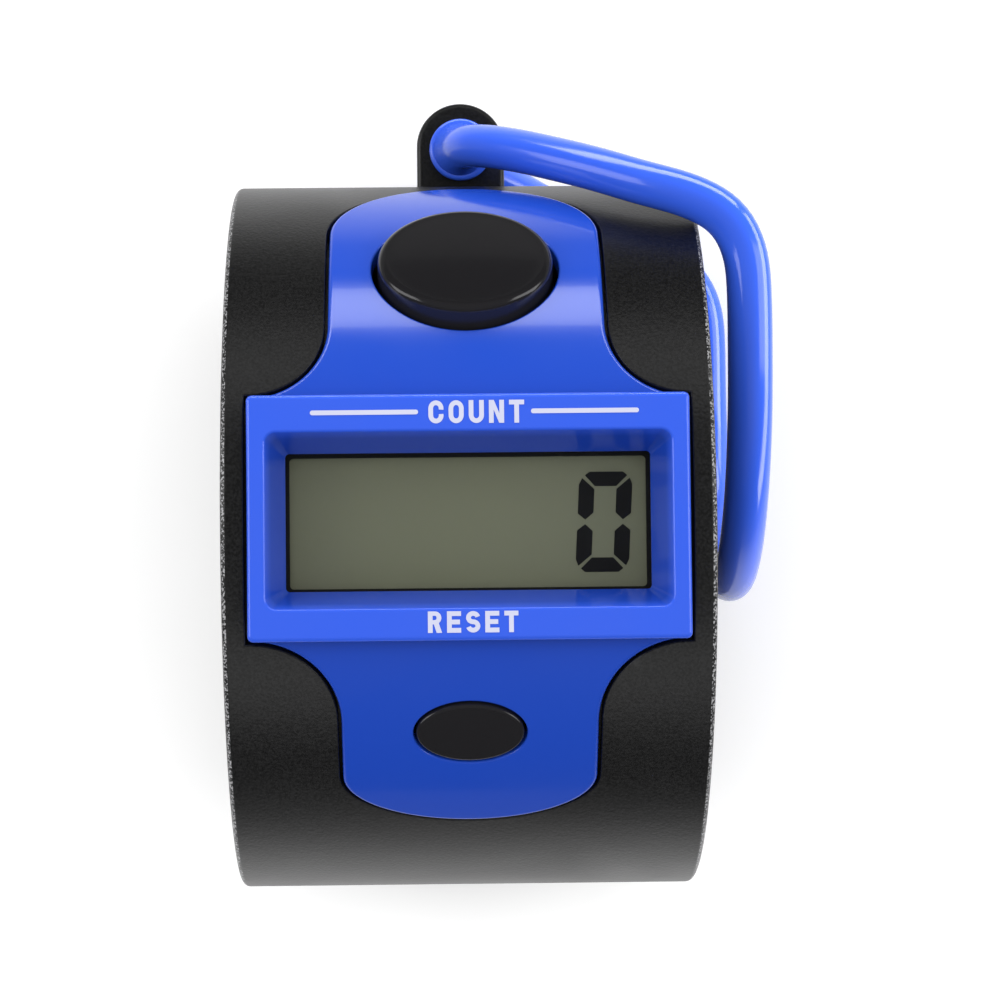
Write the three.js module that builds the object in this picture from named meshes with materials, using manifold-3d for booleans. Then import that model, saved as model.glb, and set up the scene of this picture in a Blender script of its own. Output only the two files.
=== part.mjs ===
// Hand tally counter lying on its flat back. +X right, +Y to the ring lug, +Z out of the display.
import * as THREE from 'three';
import { mergeVertices } from 'three/addons/utils/BufferGeometryUtils.js';
import Module from 'manifold-3d';

const wasm = await Module();
wasm.setup();

// body: a drum whose axis runs along X, cut off flat at the back
const drumRadius = 33;
const axisZ = 23.2;
const bodyHalfWidth = 21;
const shellWall = 2;
const shellInnerRadius = 30.2;
const partingZ = axisZ - 2.5;
const runGap = 0.3;
const arcSteps = 13;

// face plate: a curved skin with a flat display frame in the middle
const skinOuterRadius = 33.3;
const skinInnerRadius = 31.9;
const seatRadius = skinInnerRadius - runGap;
const upperHalf = 11.9;
const upperShoulderY = 26;
const upperCrown = 5.5;
const upperFilletY = 16.9;
const lowerHalf = 11;
const lowerShoulderY = -22.2;
const lowerCrown = 3.9;
const lowerFilletY = -17.4;
const frameHalfX = 18.7;
const frameHalfY = 10.4;
const frameFaceZ = axisZ + 33.6;
const frameBackZ = axisZ + 27.9;
const frameBevel = 0.35;

// display stack behind the frame
const windowHalfX = 15.6;
const windowHalfY = 5.9;
const windowY = -0.2;
const windowCorner = 0.3;
const recessFlare = 1.5;
const recessDepth = 4;
const lensSeatZ = axisZ + 29.3;
const lensHalfX = 16.9;
const lensHalfY = 7.2;
const lensThick = 0.9;
const maskThick = 0.3;
const maskBorder = 0.35;
const glassHalfX = 16.6;
const glassHalfY = 7;
const glassThick = 1.7;
const stripHalfX = 15.5;
const stripHalfY = 0.8;
const stripY = 5.9;
const holderHalfX = 18.3;
const holderHalfY = 8.8;
const holderTopZ = frameBackZ - runGap;
const boardFrontZ = axisZ + 24.1;
const boardThick = 1.2;
const boardHalfX = 17.2;
const boardHalfY = 12.9;
const countNotch = { halfX: 9.9, y: 12 };
const resetNotch = { halfX: 6.4, y: -11.6 };
const boardBackZ = boardFrontZ - boardThick;
const partTopZ = boardBackZ - runGap;

// buttons, each on its own radial axis
const countTilt = THREE.MathUtils.degToRad(40.2);
const countTopX = 7.65;
const countTopY = 6.65;
const countFlare = 0.6;
const countTopR = 34.9;
const resetTilt = THREE.MathUtils.degToRad(-33.3);
const resetHalfX = 4.65;
const resetHalfY = 2.9;
const resetTopR = 33.5;
const buttonGap = 0.37;
const skirtEndR = 28.5;
const flangeEndR = 27.5;
const stemEndR = 26.1;
const stemRadius = 2;
const resetStemRadius = 1.3;
const plungerTopR = 25.8;
const plungerEndR = 22.9;
const plungerRadius = 1.7;
const switchTopR = 24.9;
const switchEndR = 21.5;
const switchHalf = 3;
const switchBoardHalfX = 13.6;
const switchBoardHalfY = 4.2;
const switchBoardTopR = 21.2;
const studX = 11.6;
const studRadius = 1.5;

// lug and finger ring
const lugHalf = 4.15;
const lugRoundY = 37;
const pivotY = 36.5;
const lugThick = 4;
const pinRadius = 1.6;
const lugHoleRadius = 1.7;
const rodRadius = 2;
const collarRadius = 2.95;
const collarThick = 1;
const legSpread = 20.6;
const legX = 25.3;
const ringBendY = 16;

// fasteners
const casePostX = 16;
const casePostY = 20.2;
const casePostRadius = 2.6;
const caseBoreRadius = 1.4;
const caseShankRadius = 1.1;
const caseHeadRadius = 1.95;
const caseHeadSeatZ = 12;
const screwPostX = 14.5;
const screwPostY = 11.4;
const smallPostRadius = 1.8;
const smallBoreRadius = 1.05;
const smallShankRadius = 0.75;
const smallHeadRadius = 1.5;

// button cell, its contacts and the door
const cellRadius = 5.8;
const cellThick = 5.4;
const cellZ = 2.5;
const pocketRoofZ = 9.2;
const pocketTopZ = 10.4;
const doorHalfX = 11;
const doorTopY = 9.5;
const doorBottomY = -14.5;
const doorThick = 1.5;
const doorPadThick = 3.4;
const doorScrewY = -11.8;
const contactThick = 0.35;
const leadRadius = 0.55;

const group = new THREE.Group();

const plastic = (color, roughness) => new THREE.MeshStandardMaterial({ color, roughness, metalness: 0 });
const metal = (color, roughness) => new THREE.MeshStandardMaterial({ color, roughness, metalness: 1 });
const shellBlack = plastic(0x1b1b1d, 0.55);
const glossBlack = plastic(0x111113, 0.2);
const plateBlue = plastic(0x1740d8, 0.22);
const ringBlue = plastic(0x1c49e2, 0.22);
const clearLens = plastic(0xdfe6ea, 0.05);
const maskBlack = plastic(0x0b0b0c, 0.5);
const displayOlive = plastic(0x666b58, 0.3);
const holderWhite = plastic(0xd8d8d2, 0.5);
const stripRubber = plastic(0x8a8f98, 0.8);
const boardGreen = plastic(0x1d5c36, 0.5);
const chipResin = plastic(0x151515, 0.35);
const bareSteel = metal(0xb9bcc2, 0.3);
const nickel = metal(0xc9c6bd, 0.25);
const leadRed = plastic(0xb51f1f, 0.5);
const leadBlack = plastic(0x17171a, 0.5);

function solid(geometry) {
  let source = geometry.index ? geometry.toNonIndexed() : geometry.clone();
  source.deleteAttribute('normal');
  source.deleteAttribute('uv');
  source = mergeVertices(source, 1e-4);
  return new wasm.Manifold(new wasm.Mesh({
    numProp: 3,
    vertProperties: new Float32Array(source.attributes.position.array),
    triVerts: new Uint32Array(source.index.array),
  }));
}

function meshOf(name, body, material) {
  const data = body.getMesh();
  let geometry = new THREE.BufferGeometry();
  geometry.setAttribute('position', new THREE.BufferAttribute(data.vertProperties, 3));
  geometry.setIndex(new THREE.BufferAttribute(data.triVerts, 1));
  geometry = geometry.toNonIndexed();
  geometry.computeVertexNormals();
  return place(name, geometry, material);
}

function place(name, geometry, material) {
  const mesh = new THREE.Mesh(geometry, material);
  mesh.name = name;
  group.add(mesh);
  return mesh;
}

// a prism standing on an XY outline between two heights
function prism(shape, fromZ, toZ, curveSegments = 24) {
  const geometry = new THREE.ExtrudeGeometry(shape, { depth: toZ - fromZ, bevelEnabled: false, curveSegments });
  geometry.translate(0, 0, fromZ);
  return geometry;
}

function block(x0, x1, y0, y1, z0, z1) {
  const geometry = new THREE.BoxGeometry(x1 - x0, y1 - y0, z1 - z0);
  geometry.translate((x0 + x1) / 2, (y0 + y1) / 2, (z0 + z1) / 2);
  return geometry;
}

function post(x, y, radius, z0, z1, sides = 20) {
  const geometry = new THREE.CylinderGeometry(radius, radius, z1 - z0, sides);
  geometry.rotateX(Math.PI / 2);
  geometry.translate(x, y, (z0 + z1) / 2);
  return geometry;
}

function roundedRect(x0, x1, y0, y1, r) {
  const shape = new THREE.Shape();
  shape.moveTo(x0 + r, y0);
  shape.lineTo(x1 - r, y0);
  shape.absarc(x1 - r, y0 + r, r, -Math.PI / 2, 0);
  shape.lineTo(x1, y1 - r);
  shape.absarc(x1 - r, y1 - r, r, 0, Math.PI / 2);
  shape.lineTo(x0 + r, y1);
  shape.absarc(x0 + r, y1 - r, r, Math.PI / 2, Math.PI);
  shape.lineTo(x0, y0 + r);
  shape.absarc(x0 + r, y0 + r, r, Math.PI, Math.PI * 1.5);
  return shape;
}

function oval(halfX, halfY) {
  const shape = new THREE.Shape();
  shape.absellipse(0, 0, halfX, halfY, 0, Math.PI * 2);
  return shape;
}

// drum segment above a cutting height: a YZ outline swept along X
function drum(radius, halfWidth, fromZ, toZ = axisZ + radius) {
  const shape = new THREE.Shape();
  const low = Math.asin((fromZ - axisZ) / radius);
  const high = Math.asin((toZ - axisZ) / radius);
  shape.absarc(0, 0, radius, low, high);
  shape.absarc(0, 0, radius, Math.PI - high, Math.PI - low);
  const geometry = new THREE.ExtrudeGeometry(shape, {
    depth: halfWidth * 2,
    bevelEnabled: false,
    curveSegments: arcSteps,
  });
  geometry.translate(0, 0, -halfWidth);
  geometry.rotateY(Math.PI / 2);
  geometry.rotateX(Math.PI / 2);
  geometry.translate(0, 0, axisZ);
  return geometry;
}

// radial placement: local +Z becomes the outward direction at the given tilt
function radial(geometry, tilt) {
  geometry.rotateX(-tilt);
  geometry.translate(0, 0, axisZ);
  return geometry;
}

// outline of the face plate seen along Z, grown by a margin
function plateOutline(margin) {
  const shape = new THREE.Shape();
  const quarter = Math.PI / 2;
  const wing = frameHalfX + margin;
  const edge = frameHalfY + margin;
  const upperRx = frameHalfX - upperHalf;
  const upperRy = upperFilletY - edge;
  const lowerRx = frameHalfX - lowerHalf;
  const lowerRy = -edge - lowerFilletY;
  shape.moveTo(wing, -edge);
  shape.lineTo(wing, edge);
  shape.absellipse(wing, upperFilletY, upperRx, upperRy, -quarter, -2 * quarter, true);
  shape.absellipse(0, upperShoulderY, upperHalf + margin, upperCrown + margin, 0, 2 * quarter);
  shape.absellipse(-wing, upperFilletY, upperRx, upperRy, 0, -quarter, true);
  shape.lineTo(-wing, -edge);
  shape.absellipse(-wing, lowerFilletY, lowerRx, lowerRy, quarter, 0, true);
  shape.absellipse(0, lowerShoulderY, lowerHalf + margin, lowerCrown + margin, -2 * quarter, 0);
  shape.absellipse(wing, lowerFilletY, lowerRx, lowerRy, 2 * quarter, quarter, true);
  return shape;
}

function holeThrough(tilt, halfX, halfY) {
  return solid(radial(prism(oval(halfX, halfY), 24, 38, 12), tilt));
}

const sides = [-1, 1];
const tilts = [countTilt, resetTilt];
const casePosts = sides.flatMap((sx) => sides.map((sy) => [sx * casePostX, sy * casePostY]));
const boardPosts = sides.flatMap((sx) => sides.map((sy) => [sx * screwPostX, sy * screwPostY]));
const countHole = holeThrough(countTilt, countTopX + countFlare + buttonGap, countTopY + countFlare + buttonGap);
const resetHole = holeThrough(resetTilt, resetHalfX + buttonGap, resetHalfY + buttonGap);
const frontEdgeZ = partingZ + runGap / 2;
const rearEdgeZ = partingZ - runGap / 2;

// front shell: hollow drum front with plate seat, frame opening, button holes, posts and lug
let frontShell = solid(drum(drumRadius, bodyHalfWidth, frontEdgeZ));
frontShell = frontShell.subtract(solid(drum(shellInnerRadius, bodyHalfWidth - shellWall, partingZ - 2)));
const seatRing = solid(drum(drumRadius + 4, bodyHalfWidth, axisZ + 3))
  .subtract(solid(drum(seatRadius, bodyHalfWidth + 1, axisZ + 1)));
frontShell = frontShell.subtract(seatRing.intersect(solid(prism(plateOutline(runGap), axisZ + 3, axisZ + 40))));
frontShell = frontShell.subtract(solid(block(-frameHalfX - runGap, frameHalfX + runGap,
  -frameHalfY - runGap, frameHalfY + runGap, axisZ + 22, axisZ + 40)));
const postLimit = solid(drum(shellInnerRadius + 0.5, bodyHalfWidth - 1, partingZ - 5));
for (const [x, y] of casePosts) {
  const pillar = solid(post(x, y, casePostRadius, frontEdgeZ, axisZ + 30));
  frontShell = frontShell.add(pillar.intersect(postLimit));
}
for (const [x, y] of boardPosts) {
  const pillar = solid(post(x, y, smallPostRadius, boardFrontZ + runGap, frameBackZ - runGap, 16));
  frontShell = frontShell.add(pillar.intersect(postLimit));
}
for (const tilt of tilts) {
  for (const side of sides) {
    const stud = solid(radial(post(side * studX, 0, studRadius, switchBoardTopR + runGap, 34, 16), tilt));
    frontShell = frontShell.add(stud.intersect(postLimit));
  }
}
const lugShape = new THREE.Shape();
lugShape.moveTo(-lugHalf, 31.5);
lugShape.lineTo(lugHalf, 31.5);
lugShape.absarc(0, lugRoundY, lugHalf, 0, Math.PI);
frontShell = frontShell.add(solid(prism(lugShape, axisZ - lugThick / 2, axisZ + lugThick / 2)));
frontShell = frontShell.subtract(solid(post(0, pivotY, lugHoleRadius, axisZ - 4, axisZ + 4, 32)));
frontShell = frontShell.subtract(countHole).subtract(resetHole);
for (const [x, y] of casePosts) {
  frontShell = frontShell.subtract(solid(post(x, y, caseBoreRadius, partingZ - 1, partingZ + 10)));
}
for (const [x, y] of boardPosts) {
  frontShell = frontShell.subtract(solid(post(x, y, smallBoreRadius, boardFrontZ - 1, boardFrontZ + 2.6, 16)));
}
for (const tilt of tilts) {
  for (const side of sides) {
    const bore = post(side * studX, 0, smallBoreRadius, switchBoardTopR - 1, switchBoardTopR + 3.4, 16);
    frontShell = frontShell.subtract(solid(radial(bore, tilt)));
  }
}
meshOf('front_shell', frontShell, shellBlack);

// rear shell: tray with screw bosses, cell pocket and door recess
let rearShell = solid(drum(drumRadius, bodyHalfWidth, 0, rearEdgeZ));
rearShell = rearShell.subtract(solid(drum(shellInnerRadius, bodyHalfWidth - shellWall, shellWall, partingZ + 1)));
const rearLimit = solid(drum(drumRadius - 0.5, bodyHalfWidth - 1, 0.3, rearEdgeZ));
for (const [x, y] of casePosts) {
  rearShell = rearShell.add(solid(post(x, y, casePostRadius + 0.7, 0, rearEdgeZ)).intersect(rearLimit));
}
rearShell = rearShell.add(solid(post(0, 0, cellRadius + 2.2, 0.5, pocketTopZ, 40)));
rearShell = rearShell.add(solid(block(-doorHalfX - 2, doorHalfX + 2,
  doorBottomY - 2, doorTopY + 2, 0.5, doorPadThick)));
rearShell = rearShell.add(solid(post(0, doorScrewY, 2.4, 0.5, 7)));
rearShell = rearShell.subtract(solid(prism(roundedRect(-doorHalfX, doorHalfX, doorBottomY, doorTopY, 2),
  -1, doorThick + runGap, 6)));
rearShell = rearShell.subtract(solid(post(0, 0, cellRadius + 0.4, -1, pocketRoofZ, 40)));
rearShell = rearShell.subtract(solid(post(0, doorScrewY, smallBoreRadius + 0.2, -1, 5.8, 16)));
rearShell = rearShell.subtract(solid(block(-8.6, -5, -1.8, 1.8, 1, 14)));
rearShell = rearShell.subtract(solid(post(3, 0, 1, 5, 14, 16)));
for (const [x, y] of casePosts) {
  rearShell = rearShell.subtract(solid(post(x, y, caseBoreRadius, -1, partingZ + 1)));
  rearShell = rearShell.subtract(solid(post(x, y, caseHeadRadius + 0.35, -1, caseHeadSeatZ)));
}
meshOf('rear_shell', rearShell, shellBlack);

// face plate: skin and frame block in one piece
let facePlate = solid(drum(skinOuterRadius, bodyHalfWidth, axisZ + 4))
  .subtract(solid(drum(skinInnerRadius, bodyHalfWidth + 1, axisZ + 2)));
facePlate = facePlate.intersect(solid(prism(plateOutline(0), axisZ + 4, axisZ + 40)));
const frameBlock = new THREE.ExtrudeGeometry(
  roundedRect(-frameHalfX + frameBevel, frameHalfX - frameBevel,
    -frameHalfY + frameBevel, frameHalfY - frameBevel, 0.3),
  {
    depth: frameFaceZ - frameBackZ - frameBevel * 2,
    bevelThickness: frameBevel,
    bevelSize: frameBevel,
    bevelSegments: 2,
    curveSegments: 3,
  });
frameBlock.translate(0, 0, frameBackZ + frameBevel);
facePlate = facePlate.add(solid(frameBlock));
const windowShape = roundedRect(-windowHalfX, windowHalfX,
  windowY - windowHalfY, windowY + windowHalfY, windowCorner);
facePlate = facePlate.subtract(solid(prism(windowShape, frameBackZ - 1, frameFaceZ + 1, 3)));
const recess = new THREE.ExtrudeGeometry(windowShape, {
  depth: 1,
  bevelThickness: recessDepth,
  bevelSize: recessFlare,
  bevelSegments: 1,
  curveSegments: 3,
});
recess.translate(0, 0, frameFaceZ);
facePlate = facePlate.subtract(solid(recess));
facePlate = facePlate.subtract(solid(block(-lensHalfX - runGap, lensHalfX + runGap,
  windowY - lensHalfY - runGap, windowY + lensHalfY + runGap, frameBackZ - 2, lensSeatZ)));
facePlate = facePlate.subtract(countHole).subtract(resetHole);
meshOf('face_plate', facePlate, plateBlue);

// display stack, front to back
const lensTopZ = lensSeatZ - runGap;
const maskTopZ = lensTopZ - lensThick - runGap;
const glassTopZ = maskTopZ - maskThick - runGap;
const glassEndZ = glassTopZ - glassThick;
const stripTopZ = glassEndZ - runGap;
const seatZ = boardFrontZ + runGap;
place('window_lens', prism(roundedRect(-lensHalfX, lensHalfX,
  windowY - lensHalfY, windowY + lensHalfY, 0.5), lensTopZ - lensThick, lensTopZ, 4), clearLens);
const maskShape = roundedRect(-lensHalfX, lensHalfX, windowY - lensHalfY, windowY + lensHalfY, 0.5);
maskShape.holes.push(roundedRect(-windowHalfX + maskBorder, windowHalfX - maskBorder,
  windowY - windowHalfY + maskBorder, windowY + windowHalfY - maskBorder, 0.3));
place('display_mask', prism(maskShape, maskTopZ - maskThick, maskTopZ, 3), maskBlack);
place('lcd_glass', prism(roundedRect(-glassHalfX, glassHalfX,
  windowY - glassHalfY, windowY + glassHalfY, 0.2), glassEndZ, glassTopZ, 2), displayOlive);
for (const side of sides) {
  place(side > 0 ? 'connector_strip_upper' : 'connector_strip_lower',
    block(-stripHalfX, stripHalfX, windowY + side * stripY - stripHalfY, windowY + side * stripY + stripHalfY,
      seatZ, stripTopZ), stripRubber);
}
const holderShape = roundedRect(-holderHalfX, holderHalfX, windowY - holderHalfY, windowY + holderHalfY, 1);
holderShape.holes.push(roundedRect(-glassHalfX - runGap, glassHalfX + runGap,
  windowY - glassHalfY - runGap, windowY + glassHalfY + runGap, 0.2));
place('lcd_holder', prism(holderShape, seatZ, holderTopZ, 4), holderWhite);

// main board with its screw holes and a notch under each key's flange, and the parts on its back
const boardShape = new THREE.Shape([
  [-boardHalfX, -boardHalfY], [-resetNotch.halfX, -boardHalfY], [-resetNotch.halfX, resetNotch.y],
  [resetNotch.halfX, resetNotch.y], [resetNotch.halfX, -boardHalfY], [boardHalfX, -boardHalfY],
  [boardHalfX, boardHalfY], [countNotch.halfX, boardHalfY], [countNotch.halfX, countNotch.y],
  [-countNotch.halfX, countNotch.y], [-countNotch.halfX, boardHalfY], [-boardHalfX, boardHalfY],
].map(([x, y]) => new THREE.Vector2(x, y)));
for (const [x, y] of boardPosts) {
  const hole = new THREE.Path();
  hole.absarc(x, y, smallBoreRadius, 0, Math.PI * 2);
  boardShape.holes.push(hole);
}
place('main_board', prism(boardShape, boardBackZ, boardFrontZ, 8), boardGreen);
const chipDome = new THREE.LatheGeometry([
  new THREE.Vector2(0, -1.5),
  new THREE.Vector2(1.4, -1.35),
  new THREE.Vector2(2.6, -0.8),
  new THREE.Vector2(3.2, 0),
  new THREE.Vector2(0, 0),
], 24);
chipDome.rotateX(Math.PI / 2);
chipDome.translate(0, -2, partTopZ);
place('chip_blob', chipDome, chipResin);
const crystal = new THREE.CylinderGeometry(1, 1, 6, 16);
crystal.rotateZ(Math.PI / 2);
crystal.translate(9, -6, partTopZ - 1);
place('crystal', crystal, bareSteel);
place('capacitor', post(-9, -5, 1.5, partTopZ - 3.5, partTopZ, 20), maskBlack);

// count button: flared cap, retaining flange and stem in one piece
function keyCap(halfX, halfY, flare, round, topR, flangeX, flangeY) {
  const capGeometry = new THREE.ExtrudeGeometry(oval(halfX, halfY), {
    depth: topR - skirtEndR - round * 2,
    bevelThickness: round,
    bevelSize: flare,
    bevelSegments: 2,
    curveSegments: 12,
  });
  capGeometry.translate(0, 0, skirtEndR + round);
  let cap = solid(capGeometry);
  cap = cap.add(solid(prism(oval(flangeX, flangeY), flangeEndR, skirtEndR + 0.3, 12)));
  return cap;
}
const countCap = keyCap(countTopX, countTopY, countFlare, 1.2, countTopR, 9.3, 8.2)
  .subtract(solid(prism(oval(countTopX - 1.6, countTopY - 1.6), flangeEndR - 1, countTopR - 1.9, 10)))
  .add(solid(post(0, 0, stemRadius, stemEndR, countTopR - 1.6, 16)));
const resetCap = keyCap(resetHalfX - 0.3, resetHalfY - 0.3, 0.3, 0.3, resetTopR, 5.9, 4.1)
  .add(solid(post(0, 0, resetStemRadius, stemEndR, flangeEndR + 0.4, 16)));
for (const [name, cap, tilt] of [['count_button', countCap, countTilt], ['reset_button', resetCap, resetTilt]]) {
  const button = meshOf(name, cap, glossBlack);
  button.rotation.x = -tilt;
  button.position.z = axisZ;
}

// one tact switch on its own small board behind each button
function switchSet(prefix, tilt) {
  const boreShape = roundedRect(-switchHalf, switchHalf, -switchHalf, switchHalf, 0.4);
  const bore = new THREE.Path();
  bore.absarc(0, 0, plungerRadius + runGap, 0, Math.PI * 2);
  boreShape.holes.push(bore);
  const pieces = [
    place(`${prefix}_switch_body`, prism(boreShape, switchEndR, switchTopR, 8), chipResin),
    place(`${prefix}_switch_plunger`, post(0, 0, plungerRadius, plungerEndR, plungerTopR), leadRed),
  ];
  const shape = roundedRect(-switchBoardHalfX, switchBoardHalfX, -switchBoardHalfY, switchBoardHalfY, 0.8);
  for (const side of sides) {
    const hole = new THREE.Path();
    hole.absarc(side * studX, 0, smallBoreRadius, 0, Math.PI * 2);
    shape.holes.push(hole);
  }
  pieces.push(place(`${prefix}_switch_board`,
    prism(shape, switchBoardTopR - boardThick, switchBoardTopR, 8), boardGreen));
  const screwSeatR = switchBoardTopR - boardThick - runGap;
  for (const side of sides) {
    const screw = place(`${prefix}_board_screw_${side > 0 ? 'right' : 'left'}`,
      screwGeometry(smallHeadRadius, 1, smallShankRadius, 4.2), bareSteel);
    screw.userData.seat = [side * studX, 0, screwSeatR];
    pieces.push(screw);
  }
  for (const piece of pieces) {
    const seat = piece.userData.seat;
    if (seat) {
      piece.geometry.translate(seat[0], seat[1], seat[2]);
      delete piece.userData.seat;
    }
    piece.rotation.x = -tilt;
    piece.position.z = axisZ;
  }
}

// a pan head screw pointing along +Z with its seat at the origin
function screwGeometry(headRadius, headThick, shankRadius, length) {
  return new THREE.LatheGeometry([
    new THREE.Vector2(0, -headThick),
    new THREE.Vector2(headRadius * 0.8, -headThick),
    new THREE.Vector2(headRadius, -headThick * 0.6),
    new THREE.Vector2(headRadius, 0),
    new THREE.Vector2(shankRadius, 0),
    new THREE.Vector2(shankRadius, length - shankRadius),
    new THREE.Vector2(0, length),
  ], 14).rotateX(Math.PI / 2);
}

switchSet('count', countTilt);
switchSet('reset', resetTilt);
const corners = ['lower_left', 'upper_left', 'lower_right', 'upper_right'];
boardPosts.forEach(([x, y], i) => {
  place(`board_screw_${corners[i]}`, screwGeometry(smallHeadRadius, 1, smallShankRadius, 3.6), bareSteel)
    .position.set(x, y, boardBackZ - runGap);
});
casePosts.forEach(([x, y], i) => {
  place(`case_screw_${corners[i]}`, screwGeometry(caseHeadRadius, 1.6, caseShankRadius, 17), bareSteel)
    .position.set(x, y, caseHeadSeatZ - runGap);
});

// cell, contacts, leads and door
place('button_cell', post(0, 0, cellRadius, cellZ, cellZ + cellThick, 40), nickel);
const contactZ = cellZ + cellThick + runGap;
meshOf('contact_positive', solid(post(0, 0, 5, contactZ, contactZ + contactThick, 32))
  .add(solid(post(3, 0, 0.6, contactZ + contactThick / 2, 11.2, 12))), nickel);
meshOf('contact_negative', solid(block(-7.6, 3, -1.5, 1.5, 1.85, 1.85 + contactThick))
  .add(solid(block(-7.6, -7.6 + contactThick, -1.5, 1.5, 1.85, 11.2))), nickel);
function lead(name, points, material) {
  const path = new THREE.CatmullRomCurve3(points.map((p) => new THREE.Vector3(...p)));
  const circle = new THREE.Shape();
  circle.absarc(0, 0, leadRadius, 0, Math.PI * 2);
  place(name, new THREE.ExtrudeGeometry(circle, {
    steps: 20,
    curveSegments: 3,
    extrudePath: path,
  }), material);
}
lead('lead_positive', [[3, 0, 11.5], [3.4, -0.6, 15], [7, 2, 24], [9, 4, 34], [6.5, 4, 42], [6, 4, partTopZ]],
  leadRed);
lead('lead_negative', [[-7.4, 0, 11.5], [-7, -0.6, 15], [-4, -2, 24], [-7, 2, 34], [-6.4, 3, 42],
  [-6, 3, partTopZ]], leadBlack);
const doorShape = roundedRect(-doorHalfX + runGap, doorHalfX - runGap,
  doorBottomY + runGap, doorTopY - runGap, 1.7);
const doorHole = new THREE.Path();
doorHole.absarc(0, doorScrewY, smallBoreRadius + 0.2, 0, Math.PI * 2);
doorShape.holes.push(doorHole);
meshOf('battery_door', solid(prism(doorShape, 0, doorThick, 8))
  .subtract(solid(post(0, doorScrewY, 2, -1, 1))), shellBlack);
place('door_screw', screwGeometry(1.65, 0.6, smallShankRadius, 4.4), bareSteel)
  .position.set(0, doorScrewY, 0.95 - runGap / 2);

// finger ring: a round rod bent into a bail, two stub pins turning in the lug
const reach = [
  [0, pivotY, lugThick / 2 + runGap + collarThick - 0.2],
  [0.3, pivotY - 0.05, 5.2],
  [2.2, pivotY - 0.5, 7.6],
  [5.2, pivotY - 1.5, 10.6],
  [8.45, 33.7, 13.6],
  [11.9, 32.3, 16.4],
  [16.2, 30.5, 19],
  [20.2, 29.1, 20.3],
  [23.4, 27.2, legSpread],
  [25, 24, legSpread],
  [legX, 20, legSpread],
];
const bail = [];
const bailSteps = 10;
for (let i = 0; i <= bailSteps; i += 1) {
  const turn = (i / bailSteps) * Math.PI;
  bail.push([legX, ringBendY - legSpread * Math.sin(turn), legSpread * Math.cos(turn)]);
}
const ringPoints = [...reach, ...bail, ...reach.map(([x, y, z]) => [x, y, -z]).reverse()];
const ringPath = new THREE.CatmullRomCurve3(
  ringPoints.map(([x, y, z]) => new THREE.Vector3(x, y, axisZ + z)), false, 'centripetal');
const rodShape = new THREE.Shape();
rodShape.absarc(0, 0, rodRadius, 0, Math.PI * 2);
const rodGeometry = new THREE.ExtrudeGeometry(rodShape, { steps: 84, curveSegments: 7, extrudePath: ringPath });
let fingerRing = solid(rodGeometry);
for (const side of sides) {
  const collarFrom = lugThick / 2 + runGap;
  const span = (near, far) => [axisZ + side * near, axisZ + side * far].sort((p, q) => p - q);
  fingerRing = fingerRing.add(solid(post(0, pivotY, collarRadius, ...span(collarFrom, collarFrom + collarThick))));
  fingerRing = fingerRing.add(solid(post(0, pivotY, pinRadius, ...span(0.2, collarFrom + 0.5))));
}
meshOf('finger_ring', fingerRing, ringBlue);

export default group;
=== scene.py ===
import math

import bmesh
import bpy
from mathutils import Matrix, Vector
from mathutils.geometry import delaunay_2d_cdt


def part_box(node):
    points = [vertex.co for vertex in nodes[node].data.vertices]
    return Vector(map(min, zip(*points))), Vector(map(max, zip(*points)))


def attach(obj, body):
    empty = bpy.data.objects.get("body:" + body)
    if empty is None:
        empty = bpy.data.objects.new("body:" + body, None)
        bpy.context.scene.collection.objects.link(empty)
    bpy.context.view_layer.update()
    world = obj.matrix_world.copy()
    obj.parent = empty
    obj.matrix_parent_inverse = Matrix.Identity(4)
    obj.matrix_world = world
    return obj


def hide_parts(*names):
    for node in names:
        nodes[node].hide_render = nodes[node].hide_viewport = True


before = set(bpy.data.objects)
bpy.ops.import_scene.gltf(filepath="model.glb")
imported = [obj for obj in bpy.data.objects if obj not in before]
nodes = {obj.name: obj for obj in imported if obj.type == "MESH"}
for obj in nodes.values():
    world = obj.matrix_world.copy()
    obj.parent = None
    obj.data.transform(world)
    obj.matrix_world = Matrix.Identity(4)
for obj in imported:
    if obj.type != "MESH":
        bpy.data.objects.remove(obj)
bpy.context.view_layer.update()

scene = bpy.context.scene
mm = 0.001

# the drum: its axis runs along X at this height above the flat back; lengths in mm
drum = {
    "radius": 33.0,
    "axisHeight": 23.2,
    "halfWidth": 21.0,
    "edgeRound": 0.6,
    "innerRadius": 30.2,
    "innerHalfWidth": 19.0,
    "partingHeight": 20.7,
    "partingGap": 0.3,
}
axisHeight = drum["axisHeight"]
print("frame loaded:", len(nodes), "CAD nodes")


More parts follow.
